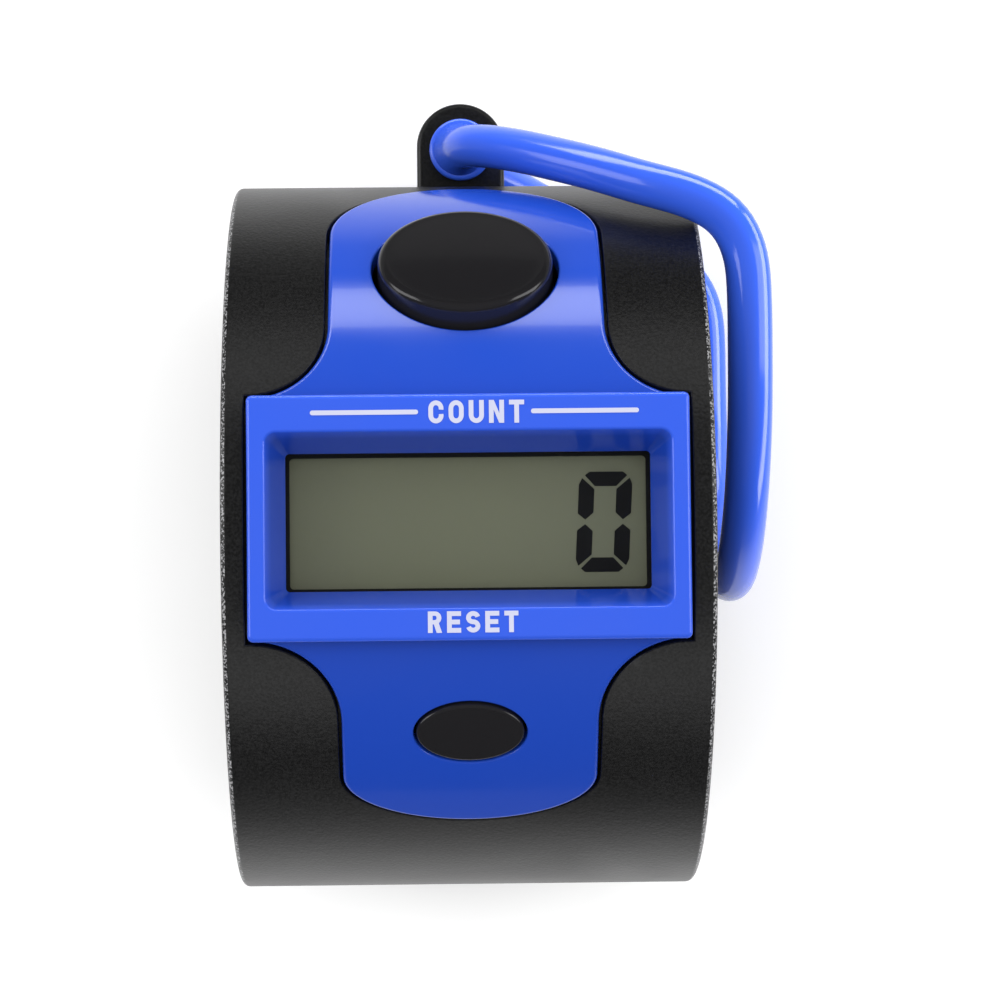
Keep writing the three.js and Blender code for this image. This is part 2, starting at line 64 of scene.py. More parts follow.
class MeshMaker:
    # collects points in mm, faces, and the exact normals of the curved stretches
    def __init__(self):
        self.points = []
        self.normals = {}
        self.faces = []
        self.exact = []

    def add(self, point, normal=None):
        self.points.append(tuple(point))
        if normal is not None:
            self.normals[len(self.points) - 1] = tuple(Vector(normal).normalized())
        return len(self.points) - 1

    def face(self, corners, exact=False):
        self.faces.append(tuple(corners))
        self.exact.append(exact)

    def strip(self, ringA, ringB, closed=True, exact=False):
        count = len(ringA)
        for i in range(count if closed else count - 1):
            j = (i + 1) % count
            self.face((ringA[i], ringA[j], ringB[j], ringB[i]), exact)

    def fan(self, ring, centre, exact=False):
        for i, corner in enumerate(ring):
            self.face((corner, ring[(i + 1) % len(ring)], centre), exact)

    def fill(self, loops, lift, spacing=None, exact=False):
        # loops: lists of (index, (u, v)); the first is the outline, the others are holes
        flat, index, edges = [], [], []
        for loop in loops:
            start = len(flat)
            for i, (corner, uv) in enumerate(loop):
                flat.append(Vector(uv))
                index.append(corner)
                edges.append((start + i, start + (i + 1) % len(loop)))
        outlines = [[uv for _, uv in loop] for loop in loops]
        if spacing:
            low = [min(p[k] for p in outlines[0]) for k in (0, 1)]
            high = [max(p[k] for p in outlines[0]) for k in (0, 1)]
            steps = [max(1, round((high[k] - low[k]) / spacing)) for k in (0, 1)]
            clear = spacing * 0.45  # no inner point stands nearer to an outline than this
            for a in range(1, steps[0]):
                for b in range(1, steps[1]):
                    u = low[0] + (high[0] - low[0]) * a / steps[0]
                    v = low[1] + (high[1] - low[1]) * b / steps[1]
                    if insideLoops((u, v), outlines) and awayFrom((u, v), outlines, clear):
                        flat.append(Vector((u, v)))
                        index.append(self.add(*lift(u, v)))
        out, _, triangles, original, _, _ = delaunay_2d_cdt(flat, edges, [], 0, 1e-6)
        for triangle in triangles:
            centre = sum((out[i] for i in triangle), Vector((0, 0))) / 3
            if insideLoops(centre, outlines):
                self.face([index[original[i][0]] for i in triangle], exact)

    def rim(self, loop, far, lift, edge, steps=4):
        # rounds the edge between a surface and a wall, from the surface's loop to the wall's
        rings = []
        for k in range(steps + 1):
            turn = math.pi / 2 * k / steps
            share = 1 - math.sin(turn)
            drop = edge * (1 - math.cos(turn))
            ring = []
            for (u, v), (farU, farV) in zip(loop, far):
                place, normal = lift(u + (farU - u) * share, v + (farV - v) * share, drop)
                normal = Vector(normal)
                away = Vector(lift(u, v)[0]) - Vector(lift(farU, farV)[0])
                away = (away - normal * away.dot(normal)).normalized()
                ring.append(self.add(place, normal * math.cos(turn) + away * math.sin(turn)))
            rings.append(ring)
        for one, two in zip(rings, rings[1:]):
            self.strip(one, two, exact=True)
        return rings[0], rings[-1]

    def sink(self, pit, lift):
        # a hole's rounded mouth and wall, with a floor if it has a depth;
        # returns its mouth and what is left open
        loop = pit["loop"]
        mouth = offsetLoop(loop, pit["lip"])
        outer, inner = self.rim(loop, mouth, lift, pit["lip"])
        if "depth" not in pit:
            return list(zip(outer, mouth)), [(inner, loop)]
        floor = [self.add(lift(u, v, pit["depth"])[0]) for u, v in loop]
        self.strip(inner, floor)
        openings = []
        for hole in pit.get("holes", []):
            openings.append(([self.add(lift(u, v, pit["depth"])[0]) for u, v in hole], hole))
        self.fill([list(zip(floor, loop))] + [list(zip(brim, hole)) for brim, hole in openings],
                  lambda u, v: (lift(u, v, pit["depth"])[0], None), spacing=2.0)
        return list(zip(outer, mouth)), openings

    def build(self, name, material, body, sharpAngle=38):
        mesh = bpy.data.meshes.new(name)
        mesh.from_pydata([Vector(p) * mm for p in self.points], [], self.faces)
        keep = mesh.attributes.new("exact", "INT", "FACE")
        keep.data.foreach_set("value", [int(flag) for flag in self.exact])
        work = bmesh.new()
        work.from_mesh(mesh)
        bmesh.ops.recalc_face_normals(work, faces=work.faces)
        work.to_mesh(mesh)
        work.free()
        mesh.polygons.foreach_set("use_smooth", [True] * len(mesh.polygons))
        mesh.set_sharp_from_angle(angle=math.radians(sharpAngle))
        flags = mesh.attributes["exact"].data
        wanted = [(0.0, 0.0, 0.0)] * len(mesh.loops)
        for polygon in mesh.polygons:
            if flags[polygon.index].value:
                for loop in polygon.loop_indices:
                    wanted[loop] = self.normals.get(mesh.loops[loop].vertex_index, (0.0, 0.0, 0.0))
        if self.normals:
            mesh.normals_split_custom_set(wanted)
        mesh.attributes.remove(mesh.attributes["exact"])
        piece = bpy.data.objects.new(name, mesh)
        scene.collection.objects.link(piece)
        mesh.materials.append(material)
        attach(piece, body)
        return piece


def insideLoops(point, outlines):
    u, v = point
    inside = False
    for outline in outlines:
        before = outline[-1]
        for here in outline:
            if (here[1] > v) != (before[1] > v):
                if u < (before[0] - here[0]) * (v - here[1]) / (before[1] - here[1]) + here[0]:
                    inside = not inside
            before = here
    return inside


def awayFrom(point, outlines, distance):
    limit = distance * distance
    for outline in outlines:
        for here in outline:
            du, dv = here[0] - point[0], here[1] - point[1]
            if du * du + dv * dv < limit:
                return False
    return True


def resample(line, step, closed=False):
    # the same line with evenly spaced points; sharp corners stay where they are
    if closed:
        line = list(line) + [line[0]]
    out = [line[0]]
    for a, b in zip(line, line[1:]):
        length = math.dist(a, b)
        count = max(1, math.ceil(length / step - 0.001))
        for k in range(1, count + 1):
            out.append(tuple(p + (q - p) * k / count for p, q in zip(a, b)))
    return out[:-1] if closed else out


def offsetLoop(loop, distance):
    # moves a closed anticlockwise outline outwards, with mitred corners
    out = []
    for i, here in enumerate(loop):
        before, after = loop[i - 1], loop[(i + 1) % len(loop)]
        one = Vector((here[1] - before[1], before[0] - here[0])).normalized()
        two = Vector((after[1] - here[1], here[0] - after[0])).normalized()
        both = one + two
        both /= max(0.35, 1 + one.dot(two))
        out.append((here[0] + both.x * distance, here[1] + both.y * distance))
    return out


def ellipsePoints(centreX, centreY, radiusX, radiusY, start, end, count):
    return [(centreX + radiusX * math.cos(math.radians(start + (end - start) * k / count)),
             centreY + radiusY * math.sin(math.radians(start + (end - start) * k / count)))
            for k in range(count + 1)]


def circlePoints(centreX, centreY, radius, count):
    return ellipsePoints(centreX, centreY, radius, radius, 0, 360, count)[:-1]


def roundedBox(halfX, halfY, corner, centreY=0.0, perCorner=6):
    loop = []
    for quarter in range(4):
        signX = (1, -1, -1, 1)[quarter]
        signY = (1, 1, -1, -1)[quarter]
        loop += ellipsePoints(signX * (halfX - corner), centreY + signY * (halfY - corner),
                              corner, corner, quarter * 90, quarter * 90 + 90, perCorner)
    return loop


# how finely the shells are divided: steps, or spacings in mm
shellGrid = {
    "frontArc": 240,
    "rearArc": 60,
    "corner": 8,
    "along": 0.9,
    "across": 40,
    "rim": 6,
    "outerSkin": 1.1,
    "innerSkin": 2.2,
}


class Profile:
    # an outline in the YZ plane, read by the distance along it; s = 0 is its middle
    def __init__(self, points, normals):
        self.points = points
        self.normals = normals
        self.at = [0.0]
        for a, b in zip(points, points[1:]):
            self.at.append(self.at[-1] + math.dist(a, b))
        self.half = self.at[-1] / 2

    def read(self, s):
        target = min(max(s + self.half, 0.0), self.at[-1])
        low, high = 0, len(self.at) - 1
        while high - low > 1:
            middle = (low + high) // 2
            if self.at[middle] <= target:
                low = middle
            else:
                high = middle
        share = (target - self.at[low]) / max(1e-9, self.at[high] - self.at[low])
        point = Vector(self.points[low]).lerp(Vector(self.points[high]), share)
        normal = Vector(self.normals[low]).lerp(Vector(self.normals[high]), share).normalized()
        return point, normal

    def lift(self, x, s, depth=0.0):
        point, normal = self.read(s)
        place = point - normal * depth
        return (x, place.x, place.y), (0.0, normal.x, normal.y)


def arcAngle(height, radius):
    # how far round the drum from its front an arc of this radius comes down to the given height
    return math.pi / 2 + math.asin((axisHeight - height) / radius)


def arcPoint(angle, radius):
    return (radius * math.sin(angle), axisHeight + radius * math.cos(angle))


def frontProfile(radius, height):
    # the front arc of the drum, from the parting line below to the parting line above
    reach = arcAngle(height, radius)
    count = shellGrid["frontArc"]
    angles = [-reach + 2 * reach * k / count for k in range(count + 1)]
    return Profile([arcPoint(a, radius) for a in angles], [(math.sin(a), math.cos(a)) for a in angles])


def rearProfile(radius, height, floor, corner):
    # the rear arcs and the flat back, with rounded corners between them
    start = arcAngle(height, radius)
    inner = radius - corner
    meet = math.pi - math.acos((axisHeight - floor - corner) / inner)
    count = shellGrid["rearArc"]
    angles = [start + (meet - start) * k / count for k in range(count + 1)]
    points = [arcPoint(a, radius) for a in angles]
    centre = (inner * math.sin(meet), floor + corner)
    count = shellGrid["corner"]
    bends = [meet + (math.pi - meet) * k / count for k in range(1, count + 1)]
    points += [(centre[0] + corner * math.sin(a), centre[1] + corner * math.cos(a)) for a in bends]
    normals = [(math.sin(a), math.cos(a)) for a in angles + bends]
    mirrorPoints = [(-y, z) for y, z in points]
    mirrorNormals = [(-y, z) for y, z in normals]
    return Profile(mirrorPoints + points[::-1], mirrorNormals + normals[::-1])


def shellMesh(maker, outer, inner, outerHalf, innerHalf, edge, pits):
    # a hollow half drum: an outer skin with rounded rims and pits sunk in it, an inner skin,
    # and a flat rim between them at the parting line
    count = round(outer.half * 2 / shellGrid["along"])
    sLine = [-outer.half + 2 * outer.half * k / count for k in range(count + 1)]
    count = shellGrid["across"]
    across = [-outerHalf + edge + 2 * (outerHalf - edge) * k / count for k in range(count + 1)]
    columns = {}
    for side in (-1, 1):
        rims = []
        for k in range(shellGrid["rim"] + 1):
            turn = math.pi / 2 * k / shellGrid["rim"]
            x = side * (outerHalf - edge + edge * math.sin(turn))
            rim = []
            for s in sLine:
                place, normal = outer.lift(x, s, edge - edge * math.cos(turn))
                bend = (side * math.sin(turn), normal[1] * math.cos(turn), normal[2] * math.cos(turn))
                rim.append(maker.add(place, bend))
            rims.append(rim)
        for one, two in zip(rims, rims[1:]):
            maker.strip(one, two, closed=False, exact=True)
        columns[side] = rims
        maker.face(rims[-1])

    def outlineOf(line, xs, left, right, lift):
        # the four sides of an unrolled skin as one loop; also its two end rows
        rows = [[left[pick]] + [maker.add(*lift(x, s)) for x in xs[1:-1]] + [right[pick]]
                for pick, s in ((0, line[0]), (-1, line[-1]))]
        loop = [(i, (x, line[0])) for i, x in zip(rows[0], xs)]
        loop += [(i, (xs[-1], s)) for i, s in zip(right[1:-1], line[1:-1])]
        loop += [(i, (x, line[-1])) for i, x in zip(rows[1][::-1], xs[::-1])]
        loop += [(i, (xs[0], s)) for i, s in zip(left[1:-1][::-1], line[1:-1][::-1])]
        return loop, rows

    outline, ends = outlineOf(sLine, across, columns[-1][0], columns[1][0], outer.lift)
    mouths, openings = [], []
    for pit in pits:
        mouth, left = maker.sink(pit, outer.lift)
        mouths.append(mouth)
        openings += left
    maker.fill([outline] + mouths, outer.lift, spacing=shellGrid["outerSkin"], exact=True)

    def plain(x, s):
        return inner.lift(x, s)[0], None

    share = inner.half / outer.half
    innerLine = [s * share for s in sLine]
    innerXs = [x * innerHalf / (outerHalf - edge) for x in across]
    edges = {side: [maker.add(*plain(side * innerHalf, s)) for s in innerLine] for side in (-1, 1)}
    innerOutline, innerEnds = outlineOf(innerLine, innerXs, edges[-1], edges[1], plain)
    exits = []
    for brim, hole in openings:
        far = [(x, s * share) for x, s in hole]
        out = [maker.add(*plain(x, s)) for x, s in far]
        maker.strip(brim, out)
        exits.append(list(zip(out, far)))
    maker.fill([innerOutline] + exits, plain, spacing=shellGrid["innerSkin"])
    for side in (-1, 1):
        maker.face(edges[side])
    leftRims, rightRims = columns[-1], columns[1]
    rimOut = list(ends[0]) + [rim[0] for rim in rightRims[1:]] + [rim[-1] for rim in rightRims[:0:-1]]
    rimOut += list(ends[1][::-1]) + [rim[-1] for rim in leftRims[1:]] + [rim[0] for rim in leftRims[:0:-1]]
    rimIn = list(innerEnds[0]) + list(innerEnds[1][::-1])
    maker.fill([[(i, maker.points[i][:2]) for i in ring] for ring in (rimOut, rimIn)], None)


def slab(maker, outline, holes, topLift, bottomLift, topEdge, bottomEdge, farLip=0.2):
    # a closed slab between two skins; a hole with a depth is a pit, any other goes right through
    sides = []
    for lift, edge in ((topLift, topEdge), (bottomLift, bottomEdge)):
        if edge:
            inner = offsetLoop(outline, -edge)
            surface, wall = maker.rim(outline, inner, lift, edge)
            sides.append((wall, list(zip(surface, inner)), lift, edge))
        else:
            wall = [maker.add(lift(u, v)[0]) for u, v in outline]
            sides.append((wall, list(zip(wall, outline)), lift, edge))
    maker.strip(sides[0][0], sides[1][0])
    mouths, openings = [], []
    for pit in holes:
        mouth, left = maker.sink(pit, topLift)
        mouths.append(mouth)
        openings += [(brim, pit.get("exit", loop)) for brim, loop in left]
    exits = []
    for brim, hole in openings:
        if bottomEdge:
            mouth = offsetLoop(hole, farLip)
            surface, wall = maker.rim(hole, mouth, bottomLift, farLip)
            exits.append(list(zip(surface, mouth)))
        else:
            wall = [maker.add(bottomLift(u, v)[0]) for u, v in hole]
            exits.append(list(zip(wall, hole)))
        maker.strip(brim, wall)
    maker.fill([sides[0][1]] + mouths, topLift, spacing=1.0, exact=bool(topEdge))
    maker.fill([sides[1][1]] + exits, bottomLift, spacing=2.0, exact=bool(bottomEdge))


def tube(maker, x, y, outline, sides=28):
    # a closed turned ring: its (radius, height) outline taken round an upright axis
    turns = [2 * math.pi * k / sides for k in range(sides)]
    rings = [[maker.add((x + radius * math.cos(turn), y + radius * math.sin(turn), height)) for turn in turns]
             for radius, height in outline]
    for one, two in zip(rings, rings[1:] + rings[:1]):
        maker.strip(one, two)


def drumLift(radius):
    # places points given across the drum and along the shell's arc, at another radius
    def lift(x, s, depth=0.0):
        turn = s / drum["radius"]
        outward = (0, math.sin(turn), math.cos(turn))
        reach = radius - depth
        return (x, reach * outward[1], axisHeight + reach * outward[2]), outward
    return lift


def newGroup(name, inputs, outputs):
    group = bpy.data.node_groups.new(name, "ShaderNodeTree")
    for label, kind, value in inputs:
        socket = group.interface.new_socket(name=label, in_out="INPUT", socket_type=kind)
        if value is not None:
            socket.default_value = value
    for label, kind in outputs:
        group.interface.new_socket(name=label, in_out="OUTPUT", socket_type=kind)
    return group, group.nodes.new("NodeGroupInput"), group.nodes.new("NodeGroupOutput")


def feed(tree, socket, source):
    # a socket takes another node's output or a fixed value
    if hasattr(source, "is_linked"):
        tree.links.new(source, socket)
    else:
        socket.default_value = source


def mathNode(tree, operation, first, second=None, clamp=False):
    node = tree.nodes.new("ShaderNodeMath")
    node.operation = operation
    node.use_clamp = clamp
    feed(tree, node.inputs[0], first)
    if second is not None:
        feed(tree, node.inputs[1], second)
    return node.outputs[0]


def mapRange(tree, value, low, high, toLow, toHigh):
    node = tree.nodes.new("ShaderNodeMapRange")
    for label, source in (("From Min", low), ("From Max", high), ("To Min", toLow), ("To Max", toHigh),
                          ("Value", value)):
        feed(tree, node.inputs[label], source)
    return node.outputs["Result"]


def mixColour(tree, factor, first, second):
    # each colour is a fixed one or another node's output
    node = tree.nodes.new("ShaderNodeMix")
    node.data_type = "RGBA"
    feed(tree, node.inputs["Factor"], factor)
    for label, colour in (("A", first), ("B", second)):
        feed(tree, node.inputs[label], colour if hasattr(colour, "is_linked") else (*colour, 1.0))
    return node.outputs["Result"]


noiseSpan = (0.35, 0.65)  # the part of a noise texture's range that holds its pattern
poreScale = 0.55  # pores against fine grain
chipSpan = (0.3, 0.6)  # noise range over which rubbed edges break up
chipLeast = 0.2
glintSpan = (0.48, 0.6)  # noise range that makes separate specks


def makeGrainGroup():
    # fine moulded texture: two sizes of grain, as a height and as a mask
    group, gate, out = newGroup("mouldGrain",
                                [("Size", "NodeSocketFloat", 4000.0), ("Mix", "NodeSocketFloat", 0.5)],
                                [("Height", "NodeSocketFloat"), ("Mask", "NodeSocketFloat")])
    place = group.nodes.new("ShaderNodeTexCoord")
    fine = group.nodes.new("ShaderNodeTexNoise")
    fine.inputs["Detail"].default_value = 2.0
    pits = group.nodes.new("ShaderNodeTexVoronoi")
    coarse = mathNode(group, "MULTIPLY", gate.outputs["Size"], poreScale)
    for node, scale in ((fine, gate.outputs["Size"]), (pits, coarse)):
        group.links.new(place.outputs["Object"], node.inputs["Vector"])
        group.links.new(scale, node.inputs["Scale"])
    blend = group.nodes.new("ShaderNodeMix")
    group.links.new(gate.outputs["Mix"], blend.inputs["Factor"])
    group.links.new(fine.outputs["Fac"], blend.inputs["A"])
    group.links.new(pits.outputs["Distance"], blend.inputs["B"])
    group.links.new(blend.outputs["Result"], out.inputs["Height"])
    group.links.new(mapRange(group, fine.outputs["Fac"], *noiseSpan, 0.0, 1.0), out.inputs["Mask"])
    return group


def makeHandlingGroup():
    # soft uneven sheen left by hands and the mould: slow patches and faint smears
    group, gate, out = newGroup("handSheen",
                                [("Patch Size", "NodeSocketFloat", 60.0), ("Low", "NodeSocketFloat", 0.2),
                                 ("High", "NodeSocketFloat", 0.3)],
                                [("Roughness", "NodeSocketFloat"), ("Mask", "NodeSocketFloat")])
    place = group.nodes.new("ShaderNodeTexCoord")
    slow = group.nodes.new("ShaderNodeTexNoise")
    slow.inputs["Detail"].default_value = 3.0
    slow.inputs["Distortion"].default_value = 0.6
    group.links.new(place.outputs["Object"], slow.inputs["Vector"])
    group.links.new(gate.outputs["Patch Size"], slow.inputs["Scale"])
    mask = mapRange(group, slow.outputs["Fac"], *noiseSpan, 0.0, 1.0)
    group.links.new(mask, out.inputs["Mask"])
    group.links.new(mapRange(group, mask, 0.0, 1.0, gate.outputs["Low"], gate.outputs["High"]),
                    out.inputs["Roughness"])
    return group


def makeEdgeGroup():
    # rubbed edges, from the surface's own pointiness
    group, gate, out = newGroup("edgeRub",
                                [("Start", "NodeSocketFloat", 0.52), ("End", "NodeSocketFloat", 0.6),
                                 ("Break Up", "NodeSocketFloat", 400.0)],
                                [("Mask", "NodeSocketFloat")])
    shape = group.nodes.new("ShaderNodeNewGeometry")
    place = group.nodes.new("ShaderNodeTexCoord")
    noise = group.nodes.new("ShaderNodeTexNoise")
    group.links.new(place.outputs["Object"], noise.inputs["Vector"])
    group.links.new(gate.outputs["Break Up"], noise.inputs["Scale"])
    sharp = mapRange(group, shape.outputs["Pointiness"], gate.outputs["Start"], gate.outputs["End"], 0.0, 1.0)
    rough = mapRange(group, noise.outputs["Fac"], *chipSpan, chipLeast, 1.0)
    group.links.new(mathNode(group, "MULTIPLY", sharp, rough, True), out.inputs["Mask"])
    return group


def makeRimGlintGroup():
    # painted highlights: broken bright specks in a thin band on both rims of the drum, standing in for light
    # caught on the rounded rims
    group, gate, out = newGroup("rimGlints",
                                [("Start", "NodeSocketFloat", 0.0205), ("End", "NodeSocketFloat", 0.0209),
                                 ("Size", "NodeSocketFloat", 6000.0)],
                                [("Mask", "NodeSocketFloat")])
    place = group.nodes.new("ShaderNodeTexCoord")
    split = group.nodes.new("ShaderNodeSeparateXYZ")
    group.links.new(place.outputs["Object"], split.inputs["Vector"])
    away = mathNode(group, "ABSOLUTE", split.outputs["X"])
    band = mathNode(group, "MULTIPLY", mathNode(group, "GREATER_THAN", away, gate.outputs["Start"]),
                    mathNode(group, "LESS_THAN", away, gate.outputs["End"]))
    noise = group.nodes.new("ShaderNodeTexNoise")
    group.links.new(place.outputs["Object"], noise.inputs["Vector"])
    group.links.new(gate.outputs["Size"], noise.inputs["Scale"])
    glints = mapRange(group, noise.outputs["Fac"], *glintSpan, 0.0, 1.0)
    group.links.new(mathNode(group, "MULTIPLY", band, glints), out.inputs["Mask"])
    return group


rimGlintGroup = makeRimGlintGroup()
grainGroup = makeGrainGroup()
sheenGroup = makeHandlingGroup()
edgeGroup = makeEdgeGroup()


# what a finish has unless its own entry says otherwise
usualLook = {
    "metallic": 0.0,
    "ior": 1.46,
    "coat": 0.0,
    "coatRoughness": 0.05,
    "patchSize": 60.0,
    "variation": 0.5,
    "secondShade": 0.86,
    "grainSize": 3000.0,
    "grainMix": 0.5,
    "bump": 0.1,
    "bumpDistance": 0.00002,
    "rub": 0.25,
    "rubStart": 0.53,
    "rubEnd": 0.62,
    "rubGain": 1.5,
    "rubLift": 0.01,
}


def makeFinish(name, own):
    # one procedural finish: colour with slow variation and rubbed edges, uneven sheen, moulded grain
    look = {**usualLook, **own}
    colour = look["colour"]
    material = bpy.data.materials.new(name)
    material.use_nodes = True
    tree = material.node_tree
    shader = tree.nodes["Principled BSDF"]
    for label, key in (("Metallic", "metallic"), ("IOR", "ior"), ("Coat Weight", "coat"),
                       ("Coat Roughness", "coatRoughness")):
        shader.inputs[label].default_value = look[key]

    def placed(group, values):
        node = tree.nodes.new("ShaderNodeGroup")
        node.node_tree = group
        for label, value in values.items():
            node.inputs[label].default_value = value
        return node

    low, high = look["roughness"]
    sheen = placed(sheenGroup, {"Patch Size": look["patchSize"], "Low": low, "High": high})
    grain = placed(grainGroup, {"Size": look["grainSize"], "Mix": look["grainMix"]})
    rub = placed(edgeGroup, {"Start": look["rubStart"], "End": look["rubEnd"]})
    tree.links.new(sheen.outputs["Roughness"], shader.inputs["Roughness"])

    second = look.get("second", [part * look["secondShade"] for part in colour])
    slow = mathNode(tree, "MULTIPLY", sheen.outputs["Mask"], look["variation"])
    coloured = mixColour(tree, slow, colour, second)
    if "paintedShadeTone" in look:
        # painted shade: a deeper shade of the colour below a given height, standing in for the lower light on the
        # plate's sloping tongues
        place = tree.nodes.new("ShaderNodeTexCoord")
        split = tree.nodes.new("ShaderNodeSeparateXYZ")
        tree.links.new(place.outputs["Object"], split.inputs["Vector"])
        height = mapRange(tree, split.outputs["Z"], look["paintedShadeFrom"], look["paintedShadeTo"], 0.0, 1.0)
        coloured = mixColour(tree, height, look["paintedShadeTone"], coloured)
    if "grainGlintColour" in look:
        # painted glints: the moulded grain's fine specks are painted lighter, as if they catch the light
        coloured = mixColour(tree, grain.outputs["Mask"], coloured, look["grainGlintColour"])
    if "rimGlintColour" in look:
        # painted highlights: bright specks along the rounded rims, by distance from the middle plane
        glints = placed(rimGlintGroup, {"Start": look["rimGlintFrom"], "End": look["rimGlintTo"], "Size": look["rimGlintSize"]})
        coloured = mixColour(tree, glints.outputs["Mask"], coloured, look["rimGlintColour"])
    rubbed = look.get("rubColour", [min(1, part * look["rubGain"] + look["rubLift"]) for part in colour])
    wear = mathNode(tree, "MULTIPLY", rub.outputs["Mask"], look["rub"])
    tree.links.new(mixColour(tree, wear, coloured, rubbed), shader.inputs["Base Color"])
    bump = tree.nodes.new("ShaderNodeBump")
    bump.inputs["Strength"].default_value = look["bump"]
    bump.inputs["Distance"].default_value = look["bumpDistance"]
    tree.links.new(grain.outputs["Height"], bump.inputs["Height"])
    tree.links.new(bump.outputs["Normal"], shader.inputs["Normal"])
    return material


finishes = {
    "shellBlack": {"colour": (0.0012, 0.0012, 0.0013), "roughness": (0.32, 0.39), "variation": 0.25,
                   "patchSize": 45.0, "grainSize": 4200.0, "grainMix": 0.3, "bump": 0.9,
                   # painted glints on the shell's grain
                   "bumpDistance": 0.00003, "grainGlintColour": (0.0085, 0.0085, 0.0087), "rub": 0.5,
                   # painted highlights along the shell's rounded rims
                   "rubColour": (0.05, 0.05, 0.052), "rimGlintColour": (0.30, 0.30, 0.31), "rimGlintFrom": 0.0206,
                   "rimGlintTo": 0.02093, "rimGlintSize": 5200.0},
    "plateBlue": {"colour": (0.028, 0.095, 0.66), "roughness": (0.13, 0.19), "variation": 0.15,
                  "grainSize": 900.0, "bump": 0.05, "bumpDistance": 0.00001, "coat": 0.2, "rub": 0.15,
                  # painted shade on the tongues, below the display frame's face
                  "paintedShadeTone": (0.012, 0.056, 0.42), "paintedShadeFrom": 0.0555, "paintedShadeTo": 0.0567},
    "ringBlue": {"colour": (0.03, 0.095, 0.62), "roughness": (0.15, 0.22), "grainSize": 900.0,
                 "bump": 0.06, "bumpDistance": 0.00001, "variation": 0.15, "coat": 0.2,
                 "rub": 0.1},
    "buttonBlack": {"colour": (0.014, 0.0135, 0.015), "roughness": (0.11, 0.17), "grainSize": 1500.0,
                    "bump": 0.05, "bumpDistance": 0.00001, "variation": 0.2, "coat": 0.1, "rub": 0.3,
                    "rubColour": (0.03, 0.03, 0.032)},
    "maskBlack": {"colour": (0.004, 0.004, 0.004), "roughness": (0.5, 0.6), "rub": 0.0},
    "printWhite": {"colour": (0.6, 0.61, 0.76), "roughness": (0.4, 0.55), "grainSize": 6000.0,
                   "bump": 0.15, "variation": 0.5, "second": (0.48, 0.5, 0.68), "rub": 0.0},
    "displayOlive": {"colour": (0.2, 0.216, 0.137), "roughness": (0.3, 0.36), "variation": 0.12,
                     "patchSize": 25.0, "bump": 0.02, "rub": 0.0},
    "segmentDark": {"colour": (0.004, 0.004, 0.006), "roughness": (0.35, 0.45), "rub": 0.0},
    "holderWhite": {"colour": (0.66, 0.66, 0.62), "roughness": (0.45, 0.55), "bump": 0.15},
    "stripRubber": {"colour": (0.22, 0.24, 0.28), "roughness": (0.7, 0.85), "bump": 0.3},
    "boardGreen": {"colour": (0.012, 0.11, 0.04), "second": (0.03, 0.2, 0.07), "variation": 1.0,
                   "patchSize": 420.0, "roughness": (0.3, 0.45), "bump": 0.2},
    "chipResin": {"colour": (0.008, 0.008, 0.008), "roughness": (0.25, 0.4), "bump": 0.2},
    "plungerRed": {"colour": (0.4, 0.015, 0.012), "roughness": (0.3, 0.4)},
    "bareSteel": {"colour": (0.55, 0.56, 0.58), "metallic": 1.0, "roughness": (0.22, 0.38),
                  "grainSize": 2500.0, "bump": 0.2},
    "nickel": {"colour": (0.66, 0.64, 0.6), "metallic": 1.0, "roughness": (0.18, 0.3), "bump": 0.1},
    "leadRed": {"colour": (0.45, 0.02, 0.015), "roughness": (0.4, 0.5)},
    "leadBlack": {"colour": (0.008, 0.008, 0.009), "roughness": (0.4, 0.5)},
}
finish = {name: makeFinish(name, look) for name, look in finishes.items()}

windowLook = {"colour": (0.01, 0.011, 0.012), "roughness": (0.03, 0.05), "bump": 0.0, "rub": 0.0,
              "variation": 0.1}
windowAlpha = 0.12
clearWindow = makeFinish("windowClear", windowLook)
clearWindow.node_tree.nodes["Principled BSDF"].inputs["Alpha"].default_value = windowAlpha
print("finishes made:", len(finish) + 1)

# a long lens almost straight above the counter's face; place in mm
view = {
    "place": (-3.64, -13.06, 305.4),
    "forward": (0.01394, 0.05234, -0.99853),
    "up": (0.00984, 0.99857, 0.05248),
    "focal": 107.8,
    "shift": (0.0282, 0.0221),
}
lens = bpy.data.cameras.new("camera")
lens.sensor_width = 36.0
lens.lens = view["focal"]
lens.shift_x, lens.shift_y = view["shift"]
lens.clip_start = 0.01
camera = bpy.data.objects.new("camera", lens)
scene.collection.objects.link(camera)
backward = -Vector(view["forward"]).normalized()
sideways = Vector(view["up"]).cross(backward).normalized()
upward = backward.cross(sideways)
turned = Matrix((sideways, upward, backward)).transposed().to_4x4()
camera.matrix_world = Matrix.Translation(Vector(view["place"]) * mm) @ turned
scene.camera = camera

# soft strips and boxes; a lamp with an "onto" list lights only those pieces, once they are made
shellPieces, platePieces, ringPieces = ("frontShell", "rearShell"), ("facePlate",), ("fingerRing",)
lights = {
    "upperStrip": {"place": (0.0, 0.50, 0.42), "size": (1.3, 0.34), "power": 1.25, "onto": shellPieces},
    "lowerStrip": {"place": (0.0, -0.46, 0.46), "size": (1.3, 0.34), "power": 1.3, "onto": shellPieces},
    "nearPanel": {"place": (0.0, 0.16, 0.09), "size": (0.34, 0.045), "power": 0.26, "onto": platePieces},
    "ringPanel": {"place": (0.02, 0.20, 0.07), "size": (0.30, 0.07), "power": 0.5, "onto": ringPieces},
    "sidePanel": {"place": (0.17, 0.0, 0.05), "size": (0.30, 0.06), "power": 0.36, "onto": ringPieces},
    "leftBox": {"place": (-0.6, 0.1, 0.35), "size": (0.3, 0.5), "power": 1.5},
    "rightBox": {"place": (0.6, 0.1, 0.35), "size": (0.3, 0.5), "power": 1.5},
}
aim = Vector((0, 0, axisHeight * mm))
lampsOnto = {}
